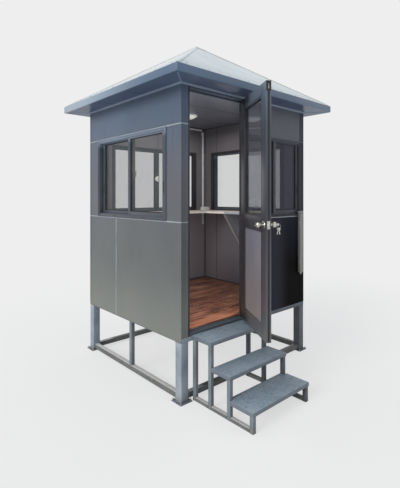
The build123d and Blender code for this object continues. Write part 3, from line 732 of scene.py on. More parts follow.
soffit = {"trimDrop": 0.014, "trimOut": 0.012, "rim": 0.003, "groove": -0.0015, "seam": 0.006, "cover": 0.008,
          "low": wallTop - 0.0022, "high": wallTop - 0.0006, "short": 0.01, "round": 0.0006}
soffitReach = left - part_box("soffit_boards")[0].x - soffit["short"]
trims, strips, covers = [], [], []
for side, matrix in sides.items():
    length, out = sideLength[side], soffit["trimOut"]
    trim = boxPiece("soffit_trim", (-out, -out, wallTop - soffit["trimDrop"]), (length + out, -0.0004, wallTop - 0.0004))
    insetFaces(trim, facing(0, -1, 0), soffit["rim"], soffit["groove"])
    for vertex in trim.data.vertices:  # mitred ends
        if vertex.co.x < 0:
            vertex.co.x = vertex.co.y
        elif vertex.co.x > length:
            vertex.co.x = length - vertex.co.y
    trims.append(moved(trim, matrix))
    strip = boxPiece("mitre_strip", (0, -soffit["seam"], 0), (
        soffitReach * 1.41421 - 0.02, soffit["seam"], soffit["high"] - soffit["low"]), soffit["round"], 1)
    strips.append(moved(strip, matrix @ shift(-out, -out, soffit["low"]) @ spun(-135)))
    for place in (length / 3, length * 2 / 3):
        cover = boxPiece("soffit_cover", (place - soffit["cover"], -soffitReach, soffit["low"]), (
            place + soffit["cover"], -out - 0.002, soffit["high"]), soffit["round"], 1)
        covers.append(moved(cover, matrix))
build("soffit_trim", trims, trimPale)
build("mitre_strips", strips, soffitSeam)
build("soffit_covers", covers, soffitNavy)
print("roof and eaves")

# Walls

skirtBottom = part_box("left_wall_lower")[0].z
flashing = {"inset": 0.0006, "back": 0.0036, "thick": 0.0022, "bottom": skirtBottom - 0.01, "top": skirtBottom - 0.0005}
bars = []
for side in ("left", "right", "back"):  # a drip edge under the panels' skirt, on the face of the floor frame
    strip = boxPiece("base_flashing", (flashing["inset"], flashing["back"] - flashing["thick"], flashing["bottom"]), (
        sideLength[side] - flashing["inset"], flashing["back"], flashing["top"]))
    pickFaces(strip, facing(0, 0, -1))
    bpy.ops.transform.translate(value=(0, -0.001, 0))
    leave()
    bars.append(moved(roundOff(strip, 0.0004, 1), sides[side]))
build("base_flashing", bars, dripSilver)

bead = {"wing": 0.026, "cover": 0.0748, "thick": 0.0014, "gap": 0.0004, "foot": 0.008, "coverFoot": 0.002, "head": 0.016,
        "rivets": 9, "firstRivet": 0.08, "lastRivet": 0.09}
thick, gap, angleTop = bead["thick"], bead["gap"], wallTop - bead["head"]
angles = []
for side, matrix in sides.items():  # a folded corner angle at the left end of each side
    covering = side == "right"  # on the front it covers the whole post, with the dark panel's painted shade
    wide, foot = (bead["cover"], bead["coverFoot"]) if covering else (bead["wing"], 0)
    wing = boxPiece("corner_angle", (-thick, -thick, wallBottom + bead["foot"]), (bead["wing"], -gap, angleTop), 0.0003, 1)
    other = boxPiece("corner_angle", (-thick, -gap, wallBottom + foot), (-gap, wide, angleTop), 0.0003, 1)
    angles.append(moved(wing, matrix))
    moved(other, matrix)
    if covering:
        hand(other, "booth", darkPanel)
        other.name = "front_post_cover"
    else:
        angles.append(other)
build("corner_angles", angles, slate)

rivet = roundOff(rodPiece("rivet", 0.0032, (0, 0, 0), (0, 0, 0.0014), 10), 0.0008, 2)
moved(rivet, spun(90, "X"))
rise = wallTop - wallBottom - bead["firstRivet"] - bead["lastRivet"]
places = []
for side, matrix in sides.items():
    for end in (bead["wing"] * 0.55, sideLength[side] - bead["wing"] * 0.55):
        for number in range(bead["rivets"]):
            z = wallBottom + bead["firstRivet"] + number * rise / (bead["rivets"] - 1)
            places.append(matrix @ shift(end, -thick, z))
hand(repeated("corner_rivets", rivet, places), "booth", windowGrey)
print("walls")

# Windows

window = {"frameFace": 0.025, "seam": 0.0003, "sashFace": 0.04, "overlap": 0.04, "tracks": (0.008, 0.042),
          "sashTop": 0.015, "sashDepth": 0.026, "glass": 0.006, "gasket": 0.007, "flange": 0.01, "proud": 0.004,
          "rail": 0.009, "drains": (0.28, 0.72), "drainUp": 0.0135, "latchUp": 0.44, "moon": 0.029}
flanges, gaskets, rails, drains, latches, pulls = [], [], [], [], [], []
frameEdge, proud = window["frameFace"] + window["seam"], window["proud"]
for side in ("left", "right", "back", "front"):
    matrix = sides[side]
    low, high = boxIn(side + "_window_frame", matrix)
    flanges.append(moved(ringPiece(
        "window_flange", (low.x - proud, low.y - 0.0035, low.z - proud), (high.x + proud, 0, high.z + proud),
        window["flange"], 0.0032, 0.0008, 1), matrix))
    inLeft, inRight = low.x + frameEdge, high.x - frameEdge
    sashLow, sashHigh = low.z + frameEdge, high.z - frameEdge
    sashWidth = (inRight - inLeft + window["overlap"]) / 2
    rim = window["sashFace"] + window["seam"]
    for start, track in ((inRight - sashWidth, window["tracks"][0]), (inLeft, window["tracks"][1])):
        stop = start + sashWidth
        middle = track + window["sashDepth"] / 2
        for y in (middle - window["glass"] / 2 - 0.0032, middle + window["glass"] / 2 + 0.0002):
            gaskets.append(moved(ringPiece(
                "gasket", (start + rim - 0.0002, y, sashLow + rim),
                (stop - rim, 0, sashHigh - window["sashTop"] - window["seam"]), window["gasket"], 0.003, 0.0012), matrix))
        pull = insetFaces(boxPiece("sash_pull", (0, 0, -0.05), (0.016, 0.003, 0.05)), facing(0, -1, 0), 0.003, -0.0018)
        edge = stop - 0.028 if track == window["tracks"][0] else start + 0.012
        place = shift(edge, track - 0.0032, (sashLow + sashHigh) / 2 - 0.12)
        pulls.append(moved(roundOff(pull, 0.001, 1), matrix @ place))
        for z0 in (low.z + window["frameFace"], high.z - window["frameFace"] - window["rail"]):
            for y in (track - 0.0036, track + window["sashDepth"] + 0.0012):
                rail = boxPiece("track_rail", (inLeft, y, z0), (inRight, y + 0.0022, z0 + window["rail"]), 0.0006, 1)
                rails.append(moved(rail, matrix))
    for share in window["drains"]:
        cover = boxPiece("drain_cover", (-0.016, -0.003, -0.0045), (0.016, 0, 0.0045))
        roundOff(insetFaces(cover, facing(0, -1, 0), 0.002, -0.0015), 0.0008, 1)
        place = shift(low.x + (high.x - low.x) * share, low.y - 0.0002, low.z + window["drainUp"])
        drains.append(moved(cover, matrix @ place))
    stile = inLeft + sashWidth - window["sashFace"] / 2
    inner = window["tracks"][1] + window["sashDepth"]
    base = boxPiece("latch_base", (stile - 0.011, inner, -0.035), (stile + 0.011, inner + 0.006, 0.035), 0.0025, 3)
    moon = rodPiece("latch_moon", window["moon"], (0, 0, 0), (0, 0, 0.007), 40)
    pickFaces(moved(moon, shift(stile + 0.018, inner + 0.0133, 0) @ spun(90, "X")))
    bpy.ops.mesh.bisect(plane_co=(stile + 0.008, 0, 0), plane_no=(1, 0, 0), clear_inner=True, use_fill=True)
    leave()
    roundOff(moon, 0.0012, 2)
    lever = boxPiece("latch_lever", (stile - 0.005, inner + 0.0065, -0.004), (stile + 0.004, inner + 0.0148, 0.03))
    roundOff(scaleFaces(lever, facing(0, 0, 1), (0.6, 0.7, 1)), 0.002, 3)
    latches.append(moved(joined("latch", [base, moon, lever]), matrix @ shift(0, 0, low.z + window["latchUp"])))
build("window_flanges", flanges, windowGrey)
build("glass_gaskets", gaskets, rubber)
build("track_rails", rails, windowGrey)
build("drain_covers", drains, darkTrim)
build("sash_pulls", pulls, rubber)
crescents = soften(build("crescent_latches", latches, latchWhite))
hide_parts("window_latches")
print("windows")

# Door

leaf = {"x0": 0.101, "x1": 0.806, "thick": 0.045, "z0": 0.576, "z1": 2.664, "stile": 0.115, "topRail": 0.09,
        "lowRail": 0.111, "mid0": 1.458, "mid1": 1.576, "panel": 0.03, "glass": 0.006, "knobX": 0.161, "knobZ": 1.512}
edge, half, knobX, knobZ = leaf["x0"], leaf["thick"] / 2, leaf["knobX"], leaf["knobZ"]
openLeft, openRight = leaf["x0"] + leaf["stile"], leaf["x1"] - leaf["stile"]


def edgePiece(name, out, low, high, near, far=0.0002, width=0, segments=1):  # a box on the leaf's free edge
    return boxPiece(name, (edge - out, half + near[0], low), (edge - far, half + near[1], high), width, segments)


beads, seals = [], []
for low, high, thick, depth, face in (
        (leaf["mid1"], leaf["z1"] - leaf["topRail"], leaf["glass"], 0.012, 0.013),
        (leaf["z0"] + leaf["lowRail"], leaf["mid0"], leaf["panel"], 0.0058, 0.01)):
    for y in (half - thick / 2 - depth - 0.0003, half + thick / 2 + 0.0003):
        beads.append(ringPiece(
            "bead", (openLeft + 0.0003, y, low + 0.0003), (openRight - 0.0003, 0, high - 0.0003), face, depth, 0.0022))
        if thick == leaf["glass"]:
            seals.append(ringPiece(
                "seal", (openLeft + face, y + 0.004, low + face), (openRight - face, 0, high - face), 0.004, depth - 0.004))
profile = {"lip": 0.0016, "groove": 0.0085, "outer": 0.02, "gap": 0.036, "bolt": 0.084, "foot": 0.003}
lip, groove, outer, boltLow = profile["lip"], profile["groove"], profile["outer"], leaf["z1"] - profile["bolt"]
for low, high in ((leaf["z0"] + profile["foot"], knobZ - profile["gap"]), (knobZ + profile["gap"], boltLow)):
    for near in ((-outer, -groove), (groove, outer)):  # two lips with the profile's groove between them
        beads.append(edgePiece("edge_lip", lip, low, high, near, width=0.0005, segments=2))
    seals.append(edgePiece("edge_groove", 0.0005, low, high, (0.0001 - groove, groove - 0.0001)))
case = edgePiece("bolt_case", lip, boltLow + 0.001, leaf["z1"] - 0.001, (-outer, outer))
seals.append(roundOff(insetFaces(case, facing(-1, 0, 0), 0.004, -0.0011), 0.0004, 1))
lever = edgePiece("bolt_lever", 0.0022, leaf["z1"] - 0.066, leaf["z1"] - 0.022, (-0.0045, 0.0045), 0.0004)
scaleFaces(lever, facing(0, 0, 1), (1, 0.45, 1), center_override=(0, half, 0))
soften(build("bolt_lever", [roundOff(lever, 0.0006)], zinc, swing, "door"))
build("leaf_beads", beads, doorSlate, swing, "door")
build("leaf_gaskets", seals, rubber, swing, "door")

knobForm = [(0.032, 0), (0.032, 0.0018), (0.03, 0.0044), (0.0235, 0.006), (0.014, 0.0066), (0.0112, 0.0086),
            (0.0104, 0.015), (0.0122, 0.0225), (0.0195, 0.0262), (0.0242, 0.032), (0.026, 0.04), (0.0256, 0.048),
            (0.0228, 0.0552), (0.0196, 0.0586), (0.0176, 0.0592), (0.0168, 0.0582), (0.01, 0.0582)]
outerKnob = turned("outer_knob", knobForm + [(0.0096, 0.0596), (0.0086, 0.06)], 48)
carve(outerKnob, boxPiece("key_slit", (-0.0011, -0.0048, 0.057), (0.0011, 0.0048, 0.061)))
moved(outerKnob, aimed((knobX, -0.0002, knobZ), (0, -1, 0)))
innerKnob = turned("inner_knob", knobForm + [(0.01, 0.0596), (0.0088, 0.06)], 48)
turnPiece = boxPiece("thumb_turn", (-0.0022, -0.0078, 0.0585), (0.0022, 0.0078, 0.0598), 0.0005, 1)
for piece in (innerKnob, turnPiece):
    moved(piece, aimed((knobX, leaf["thick"] + 0.0002, knobZ), (0, 1, 0)) @ Matrix.Scale(1.08, 4))
plate = edgePiece("edge_plate", 0.0014, knobZ - 0.032, knobZ + 0.032, (-0.0125, 0.0125), width=0.0005)
bolt = edgePiece("latch_bolt", 0.0048, knobZ - 0.009, knobZ + 0.009, (-0.0065, 0.0065), 0.0012)
scaleFaces(bolt, facing(-1, 0, 0), (1, 0.35, 0.86), center_override=(0, half - 0.0055, knobZ))
roundOff(bolt, 0.0006)
screws = repeated("plate_screws", screwHead(0.0034, 0.0012), [
    aimed((edge - 0.0014, half, knobZ + z), (-1, 0, 0)) for z in (-0.024, 0.024)])
parts = [outerKnob, innerKnob, turnPiece, plate, bolt, screws]
lock = soften(build("door_knobs", parts, steel, swing, "door"))
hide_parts("door_lock")


def keyPiece():  # a flat key hanging down from its bow, the bow's hole at the origin
    bow = moved(rodPiece("key_bow", 0.0105, (0, 0, -0.0011), (0, 0, 0.0011)), shift(0, 0, -0.0065) @ spun(90, "Y"))
    carve(bow, rodPiece("key_hole", 0.0026, (-0.005, 0, 0), (0.005, 0, 0), 16))
    blade = boxPiece("key_blade", (-0.0011, -0.004, -0.043), (0.0011, 0.003, -0.0158))
    pickFaces(blade)
    for cut in range(4):
        bpy.ops.mesh.select_all(action="SELECT")
        bpy.ops.mesh.bisect(plane_co=(0, 0, -0.0385 + cut * 0.005), plane_no=(0, 0, 1))
    leave()
    for vertex in blade.data.vertices:  # teeth along one edge
        if vertex.co.y < 0:
            vertex.co.y += (0.0012, 0.0, 0.0016, 0.0003, 0.001)[int(abs(vertex.co.z) * 1000 / 5) % 5]
    return joined("key", [bow, roundOff(blade, 0.0003, 1)])


bunch = {"ring": 0.0165, "wire": 0.0011, "scale": 1.25, "out": 0.0604, "hung": ((0.0014, 13), (-0.003, -10))}
first = keyPiece()
keys = []
for aside, tilt in bunch["hung"]:
    place = shift(knobX + aside, -bunch["out"] - 0.0236, knobZ - 2 * bunch["ring"] + 0.005)
    keys.append(twin(first, place @ spun(tilt, "X") @ Matrix.Scale(bunch["scale"], 4)))
moved(first, shift(knobX, -bunch["out"] - 0.0255, knobZ) @ spun(90, "X"))
clearAll()
bpy.ops.mesh.primitive_torus_add(
    major_radius=bunch["ring"], minor_radius=bunch["wire"], major_segments=32, minor_segments=8, rotation=(0, pi / 2, 0),
    location=(knobX, -bunch["out"] - 0.0248, knobZ - bunch["ring"] + 0.0035))
loop = settle(bpy.context.object, "key_ring")
soften(build("door_keys", [first, *keys, loop], steel, swing, "door"))

hinges = {"fromEnd": 0.22, "knuckle": 0.0502, "screwX": 0.012, "screwY": -0.003, "screwsUp": (-0.036, 0, 0.036)}
levels = [leaf["z0"] + hinges["fromEnd"], (leaf["z0"] + leaf["z1"]) / 2, leaf["z1"] - hinges["fromEnd"]]
hingeX, hingeY = hinge.x - left, hinge.y - front
cap = turned("finial", [(0.0069, 0), (0.0069, 0.0022), (0.0052, 0.005), (0.0026, 0.0064)], 20)
screw = screwHead(0.0038, 0.0016)
for name, body, sign, matrix in (("leaf", "door", 1, swing), ("jamb", "booth", -1, home)):
    flip = Matrix() if sign == 1 else spun(180, "X")
    pins = repeated(name + "_finials", twin(cap, Matrix()), [
        shift(hingeX, hingeY, z + sign * hinges["knuckle"]) @ flip for z in levels])
    heads = repeated(name + "_screws", twin(screw, Matrix()), [
        aimed((hingeX - sign * hinges["screwX"], hinges["screwY"], z + up), (0, -1, 0))
        for z in levels for up in hinges["screwsUp"]])
    soften(build(name + "_hinge_pins", [pins, heads], steel, matrix, body))
for piece in (cap, screw):
    bpy.data.objects.remove(piece)

jamb = {"x0": 0.095, "x1": 0.811, "head": 2.67, "stopFront": 0.051, "plate": 0.0012, "plateHalf": (0.0125, 0.036),
        "holeHalf": (0.0075, 0.0115), "screwUp": 0.025, "sealFrom": 0.002, "sealTo": 0.011, "sealThick": 0.0045}
(plateY, plateZ), (holeY, holeZ), jambX = jamb["plateHalf"], jamb["holeHalf"], jamb["x0"]
strike = boxPiece("strike_plate", (jambX + 0.0002, half - plateY, knobZ - plateZ), (
    jambX + jamb["plate"], half + plateY, knobZ + plateZ))
carve(strike, boxPiece(
    "strike_hole", (jambX - 0.01, half - holeY, knobZ - holeZ), (jambX + 0.01, half + holeY, knobZ + holeZ)))
strikeScrews = repeated("strike_screws", screwHead(0.0034, 0.0012), [
    aimed((jambX + jamb["plate"], half, knobZ + z), (1, 0, 0)) for z in (-jamb["screwUp"], jamb["screwUp"])])
build("strike_plate", [strike, strikeScrews], steel, home)

sealFrom, sealTo, sealBack, sealFoot = jamb["sealFrom"], jamb["sealTo"], jamb["stopFront"] - 0.0003, floorLevel + 0.0004
bars = [boxPiece("door_seal", (x0, sealBack - jamb["sealThick"], z0), (x1, sealBack, z1), 0.002, 3) for x0, x1, z0, z1 in (
    (jambX + sealFrom, jambX + sealTo, sealFoot, jamb["head"] - 0.012),
    (jamb["x1"] - sealTo, jamb["x1"] - sealFrom, sealFoot, jamb["head"] - 0.012),
    (jambX + sealFrom, jamb["x1"] - sealFrom, jamb["head"] - sealTo, jamb["head"] - sealFrom))]
build("door_seal", bars, rubber, home)
print("door")

# Floor

boards = {"x0": 0.0752, "x1": 1.7248, "y0": 0.0752, "y1": 1.5748, "thick": 0.0115, "rows": 13, "length": 1.2,
          "shift": 0.37, "seam": 0.0003, "doorway": (0.0955, 0.8105), "doorwayFront": 0.0512}
pitch, seam = (boards["y1"] - boards["y0"]) / boards["rows"], boards["seam"]
model = boxPiece("floor_plank", (-0.5, seam - pitch / 2, floorLevel - boards["thick"]), (0.5, pitch / 2 - seam, floorLevel))
modify(model, "BEVEL", width=0.0011, segments=1, limit_method="ANGLE")
laid = []
for row in range(boards["rows"]):
    cuts = [boards["x0"] + boards["length"] * (number - (row * boards["shift"]) % 1) for number in (1, 2)]
    if row == 0:
        cuts = boards["doorway"]
    cuts = [boards["x0"], *[cut for cut in cuts if cut < boards["x1"] - 0.02], boards["x1"]]
    for x0, x1 in zip(cuts, cuts[1:]):
        plank = twin(model, shift(0, boards["y0"] + pitch * (row + 0.5), 0))
        if x0 == boards["doorway"][0]:  # this plank runs out under the door stops
            for vertex in plank.data.vertices:
                if vertex.co.y < boards["y0"] + pitch / 2:
                    vertex.co.y -= boards["y0"] + seam - boards["doorwayFront"]
        for vertex in plank.data.vertices:  # ends drawn to the plank's own length
            vertex.co.x += (x1 - seam - 0.5) if vertex.co.x > 0 else (x0 + seam + 0.5)
        shade = plank.data.attributes.new("board", "FLOAT", "POINT")
        shade.data.foreach_set("value", [dice.random()] * len(plank.data.vertices))
        laid.append(plank)
bpy.data.objects.remove(model)
floorPlanks = build("floor_planks", laid, planks, home)
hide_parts("floor_boards")

# Room

room = {"x0": 0.075, "x1": 1.725, "y0": 0.075, "y1": 1.575, "sill": 1.527, "head": 2.352, "top": 2.7, "door": 0.831,
        "cover": 0.005, "coverThick": 0.0014, "cove": 0.016, "post": 0.014, "gap": 0.0004, "taper": 0.3}
sill, head, top, gap, cove, post = (room[key] for key in ("sill", "head", "top", "gap", "cove", "post"))
bands = ((floorLevel + 0.02, sill - 0.002), (head + 0.002, top - 0.012))
insideWalls = (  # left, right, back and front as seen from inside, X along each and Y out, its length and its joints
    (shift(room["x0"], room["y0"], 0) @ spun(90), room["y1"] - room["y0"], (0.99,)),
    (shift(room["x1"], room["y1"], 0) @ spun(-90), room["y1"] - room["y0"], (0.236, 1.185)),
    (shift(room["x0"], room["y1"], 0), room["x1"] - room["x0"], (0.825,)),
    (shift(room["x1"], room["y0"], 0) @ spun(180), room["x1"] - room["door"], ()))
covers, trims = [], []
for matrix, length, joints in insideWalls:
    for place in joints:
        for low, high in bands:
            cover = boxPiece("joint_cover", (place - room["cover"], -room["coverThick"], low), (
                place + room["cover"], -0.0002, high), 0.0006, 1)
            covers.append(moved(cover, matrix))
    for z, up in ((floorLevel, 1), (top, -1)):
        trim = boxPiece("cove", (gap, -cove, min(z, z + up * cove)), (length - gap, -gap, max(z, z + up * cove)))
        scaleFaces(trim, facing(0, -1, 0), (1, 1, room["taper"]), center_override=(0, 0, z))
        trims.append(moved(trim, matrix @ shift(0, 0, up * gap)))
    for low, high in ((floorLevel + cove + 0.001, sill - 0.002), (head + 0.002, top - cove - 0.001)):
        trim = boxPiece("corner_trim", (gap, -post, low), (post, -gap, high))
        scaleFaces(trim, facing(0, -1, 0), (room["taper"], 1, 1), center_override=(0, 0, 0))
        trims.append(moved(trim, matrix))
for y in (0.575, 1.075):
    covers.append(boxPiece(
        "ceiling_seam", (room["x0"] + 0.017, y - room["cover"], top - room["coverThick"]),
        (room["x1"] - 0.017, y + room["cover"], top - 0.0002), 0.0006, 1))
build("room_joints", covers, roomDark, home)
build("room_trims", trims, roomDark, home)

lampForm = {
    "rim": [(0.11, 0), (0.11, 0.01), (0.1075, 0.0128), (0.101, 0.0128), (0.099, 0.01)],
    "dome": [(0.0985, 0.009), (0.094, 0.0155), (0.085, 0.022), (0.074, 0.029), (0.06, 0.036), (0.045, 0.042),
             (0.02, 0.048), (0.006, 0.0492)]}
lampMiddle = sum(boxIn("ceiling_lamp", home), Vector()) / 2
lampAt = home @ shift(lampMiddle.x, lampMiddle.y, top - 0.0002) @ spun(180, "X")
for part, material in (("rim", whitePlastic), ("dome", lampWhite)):
    name = "lamp_" + part
    piece = soften(build(name, [turned(name, lampForm[part], 64)], material, lampAt))
    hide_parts("ceiling_lamp")

desk = {"z0": 1.527, "z1": 1.552, "front": 1.175, "side": 1.375, "left": 0.0783, "near": 0.0783, "bracket": 0.85,
        "edge": 0.0022}
edgeLow, edgeHigh, sideX = desk["z0"] + 0.0004, desk["z1"] - 0.0002, desk["side"] - 0.0002
backEdge, sideEdge, nearEdge = [boxPiece("desk_edge", (*low, edgeLow), (*high, edgeHigh), 0.0008) for low, high in (
    ((desk["left"], desk["front"] - desk["edge"]), (desk["side"] - 0.0004, desk["front"] - 0.0002)),
    ((desk["side"] - desk["edge"], desk["bracket"] + 0.0002), (sideX, desk["front"] - 0.0026)),
    ((desk["side"] - desk["edge"], desk["near"]), (sideX, desk["bracket"] - 0.0002)))]
build("desk_edge_strip", [nearEdge], bracketGrey, home)  # grey metal before the bracket
build("desk_edging", [backEdge, sideEdge], deskEdge, home)

bracket = {"half": 0.017, "top": 1.5232, "foot": 1.07, "tip": 1.047, "web": 0.0034, "thick": 0.0036, "fold": 0.015,
           "foldEnd": 0.016, "screwY": (-0.0105, 0.0105), "screwZ": (1.1, 1.28, 1.46)}
flanges, heads = [], []
for place, reach in ((shift(room["x1"], desk["bracket"], 0), 0.35), (shift(0.5, room["y1"], 0) @ spun(90), 0.4)):
    flat, wall = bracket["half"], -bracket["thick"]  # the wall stands at X 0, the desk runs towards -X
    topFlange = boxPiece("bracket_top", (-reach + 0.006, -flat, bracket["top"]), (-0.024, flat, 1.5266))
    wallFlange = boxPiece("bracket_wall", (wall, -flat, bracket["foot"]), (-gap, flat, 1.5226))
    for flange in (topFlange, wallFlange):
        carve(flange, boxPiece("cut", (-1, -bracket["web"], 1.0), (1, bracket["web"], 1.6)))
        flanges.append(moved(flange, place))
    slope = Vector((reach, 0, bracket["tip"] - desk["z0"]))
    fold = boxPiece("bracket_fold", (bracket["foldEnd"], -bracket["fold"], -0.0034), (
        slope.length - bracket["foldEnd"], bracket["fold"], -0.0002), 0.001)
    slope.normalize()
    level = Vector((0, 1, 0))
    flanges.append(moved(fold, place @ shift(-reach, 0, desk["z0"]) @ framed(slope, level, slope.cross(level))))
    for y in bracket["screwY"]:
        heads.extend(place @ aimed((x, y, bracket["top"]), (0, 0, -1)) for x in (-reach + 0.05, -0.1))
        heads.extend(place @ aimed((wall, y, z), (-1, 0, 0)) for z in bracket["screwZ"])
build("bracket_flanges", flanges, foldGrey, home)
build("bracket_screws", [repeated("bracket_screws", screwHead(), heads)], zinc, home)

ductLow, ductHigh = boxIn("conduit", home)
duct = {"wide": 0.02, "bend": 0.014, "proud": 0.0012, "wall": 1.5747, "top": 2.684, "socketTop": 1.588, "lip": 0.0022}
wide, bend, ductTop, socketTop = duct["wide"], duct["bend"], duct["top"], duct["socketTop"]
reach = wide + bend
channels = []
for x0, z0, x1, z1 in (  # a channel with a snapped-in lid between two lips
        (ductLow.x + reach, ductTop - wide, ductHigh.x - reach, ductTop),
        (ductHigh.x - wide, socketTop, ductHigh.x, ductTop - reach),
        (ductHigh.x - wide, ductLow.z, ductHigh.x, 1.5268)):
    channel = boxPiece("duct_run", (x0, ductLow.y, z0), (x1, duct["wall"], z1))
    insetFaces(channel, facing(0, -1, 0), duct["lip"], 0)
    insetFaces(channel, lambda f: f.normal.y < -0.9 and f.area > (x1 - x0) * (z1 - z0) * 0.5, 0.0008, -0.0012)
    channels.append(roundOff(channel, 0.0006))
for x, z, turn in ((ductHigh.x - reach, ductTop - reach, 0), (ductLow.x + reach, ductTop + bend, 180)):
    ductDeep = duct["wall"] - ductLow.y + duct["proud"]  # a moulded quarter bend, a little proud of the channels
    elbow = planePiece("duct_elbow", wide + 0.0024, ductDeep)
    pickFaces(moved(elbow, shift(bend + wide / 2, duct["wall"] - ductDeep / 2, 0)))
    bpy.ops.mesh.spin(steps=10, angle=pi / 2, center=(0, 0, 0), axis=(0, -1, 0))
    bpy.ops.mesh.select_all(action="SELECT")
    bpy.ops.mesh.remove_doubles(threshold=0.00001)
    bpy.ops.mesh.normals_make_consistent(inside=False)
    leave()
    channels.append(roundOff(moved(elbow, shift(x, 0, z) @ spun(turn, "Y")), 0.0012))
for x0, x1, z0, z1, out in (
        (ductHigh.x - wide, ductHigh.x, ductLow.z - 0.0003, ductLow.z + 0.012, 0.0016),
        (ductHigh.x - wide, ductHigh.x, socketTop + 0.0002, socketTop + 0.01, 0.0016),
        (ductHigh.x - wide, ductHigh.x, 1.86, 1.874, 0.0012), (ductHigh.x - wide, ductHigh.x, 2.24, 2.254, 0.0012),
        (1.29, 1.304, ductTop - wide - 0.0012, ductTop + 0.0012, 0)):
    channels.append(boxPiece("duct_clip", (x0 - out, ductLow.y - 0.0016, z0), (x1 + out, duct["wall"], z1), 0.001))
trunking = soften(build("cable_trunking", channels, whitePlastic, home))
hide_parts("conduit")

socket = {"x": 1.6787, "y": 1.5287, "half": 0.0405, "low": 0.0002, "high": 0.0062, "slots": (
    (-0.012, 0.01, 35), (0.012, 0.01, -35), (0, -0.012, 0), (-0.022, -0.028, 0), (0.022, -0.028, 0))}
socketAt = shift(socket["x"], socket["y"], socketTop)
face = boxPiece("socket_face", (-socket["half"], -socket["half"], socket["low"]), (
    socket["half"], socket["half"], socket["high"]))
roundOff(insetFaces(face, facing(0, 0, 1), 0.006, 0.0012), 0.0016)
for x, y, turn in socket["slots"]:
    cut = boxPiece("cut", (-0.0016, -0.0046, -0.004), (0.0016, 0.0046, 0.01))
    carve(face, moved(cut, shift(x, y, 0.005) @ spun(turn)))
build("socket_face", [face], whitePlastic, home @ socketAt)
print("floor and room")

# Stand

stand = {"leg": 0.08, "out": 0.0125, "plate": 0.008, "under": 0.505, "width": 1.8, "depth": 1.65, "tieLow": 0.015,
         "tie": 0.05, "inset": 0.015, "postX": (0.02, 1.74), "postY": (0.805, 0.845), "post": 0.04}
leg, tie, under, plateTop = stand["leg"], stand["tie"], stand["under"] - 0.001, stand["plate"] + 0.001
legX, legY = (0, stand["width"] - leg), (0, stand["depth"] - leg)
anchor = joined("anchor_bolts", [
    turned("bolt_washer", [(0.01, 0), (0.01, 0.0016), (0.0094, 0.002)], 24),
    turned("bolt_nut", [(0.0082, 0.002), (0.0082, 0.0078), (0.007, 0.0088)], 6),
    turned("bolt_stud", [(0.0042, 0.0088), (0.0042, 0.017), (0.0032, 0.0184)], 12)])
around = (-stand["out"], leg + stand["out"])
spots = [shift(x + u, y + v, stand["plate"] + 0.0002) @ Matrix.Rotation(dice.uniform(0, 1), 4, "Z")
         for x in legX for y in legY for u in around for v in around]
soften(build("anchor_bolts", [repeated("anchor_bolts", anchor, spots)], zinc, home), 30)


def weldBead(start, end, radius=0.0026):  # a rippled bead from overlapping short cones
    start, end = Vector(start), Vector(end)
    pitch = 0.0045
    clearAll()
    bpy.ops.mesh.primitive_cone_add(vertices=6, radius1=radius, radius2=radius * 0.7, depth=pitch, end_fill_type="NOTHING")
    bead = settle(bpy.context.object, "weld_bead")
    modify(bead, "ARRAY", count=max(2, int((end - start).length / pitch)), use_relative_offset=False,
           use_constant_offset=True, constant_offset_displace=(0, 0, pitch))
    return moved(bead, aimed(start, end - start))


spans = []
for x in legX:
    for y in legY:
        ring = [(x, y), (x + leg, y), (x + leg, y + leg), (x, y + leg), (x, y)]
        spans.extend(((*a, plateTop), (*b, plateTop)) for a, b in zip(ring, ring[1:]))
        innerX, innerY = x or leg, y or leg
        spans.append(((x + 0.002, innerY, under), (x + leg - 0.002, innerY, under)))
        spans.append(((innerX, y + 0.002, under), (innerX, y + leg - 0.002, under)))
low, high = stand["tieLow"], stand["tieLow"] + tie
for x in (stand["inset"], stand["width"] - stand["inset"] - tie):
    for y in (leg, stand["depth"] - leg):
        spans.extend(((u, y, low), (u, y, high)) for u in (x, x + tie))
        spans.append(((x, y, high), (x + tie, y, high)))
for y in (stand["inset"], stand["depth"] - stand["inset"] - tie):
    for x in (leg, stand["width"] - leg):
        spans.extend(((x, v, low), (x, v, high)) for v in (y, y + tie))
        spans.append(((x, y, high), (x, y + tie, high)))
for x in stand["postX"]:
    for z in (high + 0.001, under):
        spans.extend(((x, y, z), (x + stand["post"], y, z)) for y in stand["postY"])
        spans.extend(((u, stand["postY"][0], z), (u, stand["postY"][1], z)) for u in (x, x + stand["post"]))
build("stand_welds", [weldBead(*span) for span in spans], standPaint, home)

# Steps

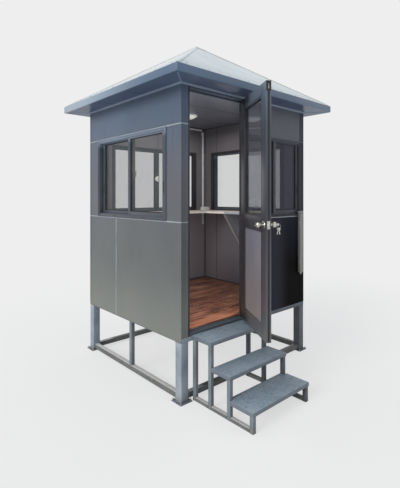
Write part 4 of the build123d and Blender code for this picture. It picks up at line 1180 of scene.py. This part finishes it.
steps = {"legX": (0.123, 0.806), "lip": 0.005, "leg": 0.035, "runner": 0.03, "fillet": 0.0022, "under": 0.034,
         "treads": ((0.552, -0.2363), (0.345, -0.4503), (0.16, -0.6823))}  # the level and the front of each tread
leg, fillet = steps["leg"], steps["fillet"]
spans = []
for number, (level, ahead) in enumerate(steps["treads"]):
    y0, z = ahead + steps["lip"], level - steps["under"]
    y1 = y0 + leg
    for x0, inner in zip(steps["legX"], (steps["legX"][0] + leg, steps["legX"][1])):
        x1 = x0 + leg
        spans.append(((inner, y0, z), (inner, y1, z), fillet))
        spans.append(((x0 + 0.003, y1, z), (x1 - 0.003, y1, z), fillet))
        spans.append(((inner, y0 + 0.002, fillet + 0.001), (inner, y1 - 0.002, fillet + 0.001), 0.002))
        if number < 2:  # these legs stand on the runners
            spans.extend(((x0 + 0.002, y, steps["runner"]), (x1 - 0.002, y, steps["runner"]), fillet) for y in (y0, y1))
build("step_welds", [weldBead(*span) for span in spans], stepPaint, home)
print("stand and steps")

# Meter box

meterLow, meterHigh = boxIn("meter_box", home)
meter = {"x0": meterLow.x + 0.014, "x1": meterHigh.x, "front": meterLow.y + 0.004, "z0": meterLow.z,
         "z1": meterHigh.z - 0.018, "margin": (0.005, 0.01), "hinges": (0.09, -0.135), "lockX": 0.019}
x0, x1, y, z0, z1 = (meter[key] for key in ("x0", "x1", "front", "z0", "z1"))
marginX, marginZ = meter["margin"]
cover = boxPiece("meter_door", (x0 + marginX, y - 0.0032, z0 + marginZ), (x1 - marginX, y - 0.0003, z1 - marginZ))
insetFaces(cover, facing(0, -1, 0), 0.007, -0.0014)
insetFaces(cover, lambda f: f.normal.y < -0.9 and f.area > 0.015, 0.003, 0.001)
build("meter_door", [roundOff(cover, 0.001)], meterEnamel, home)
barrel = turned("meter_hinge", [(0.003, 0), (0.003, 0.044), (0.002, 0.0455)], 16)
barrels = repeated("meter_hinges", barrel, [
    shift(x0 + 0.0022, y - 0.0006, z) for z in (z0 + meter["hinges"][0], z1 + meter["hinges"][1])])
lockBarrel = turned("meter_lock", [(0.0085, 0), (0.0085, 0.001), (0.0074, 0.0018), (0.0046, 0.0018)], 32)
carve(lockBarrel, boxPiece("cut", (-0.0008, -0.003, 0.0008), (0.0008, 0.003, 0.01)))
moved(lockBarrel, aimed((x1 - meter["lockX"], y - 0.0018, (z0 + z1) / 2), (0, -1, 0)))
gland = turned("cable_gland", [(0.0115, 0), (0.0115, 0.009), (0.009, 0.011), (0.009, 0.02), (0.0064, 0.0235)], 24)
moved(gland, aimed(((x0 + x1) / 2, y / 2 - 0.0015, z0 - 0.0002), (0, 0, -1)))
soften(build("meter_fittings", [barrels, lockBarrel, gland], zinc, home))
print("meter box")
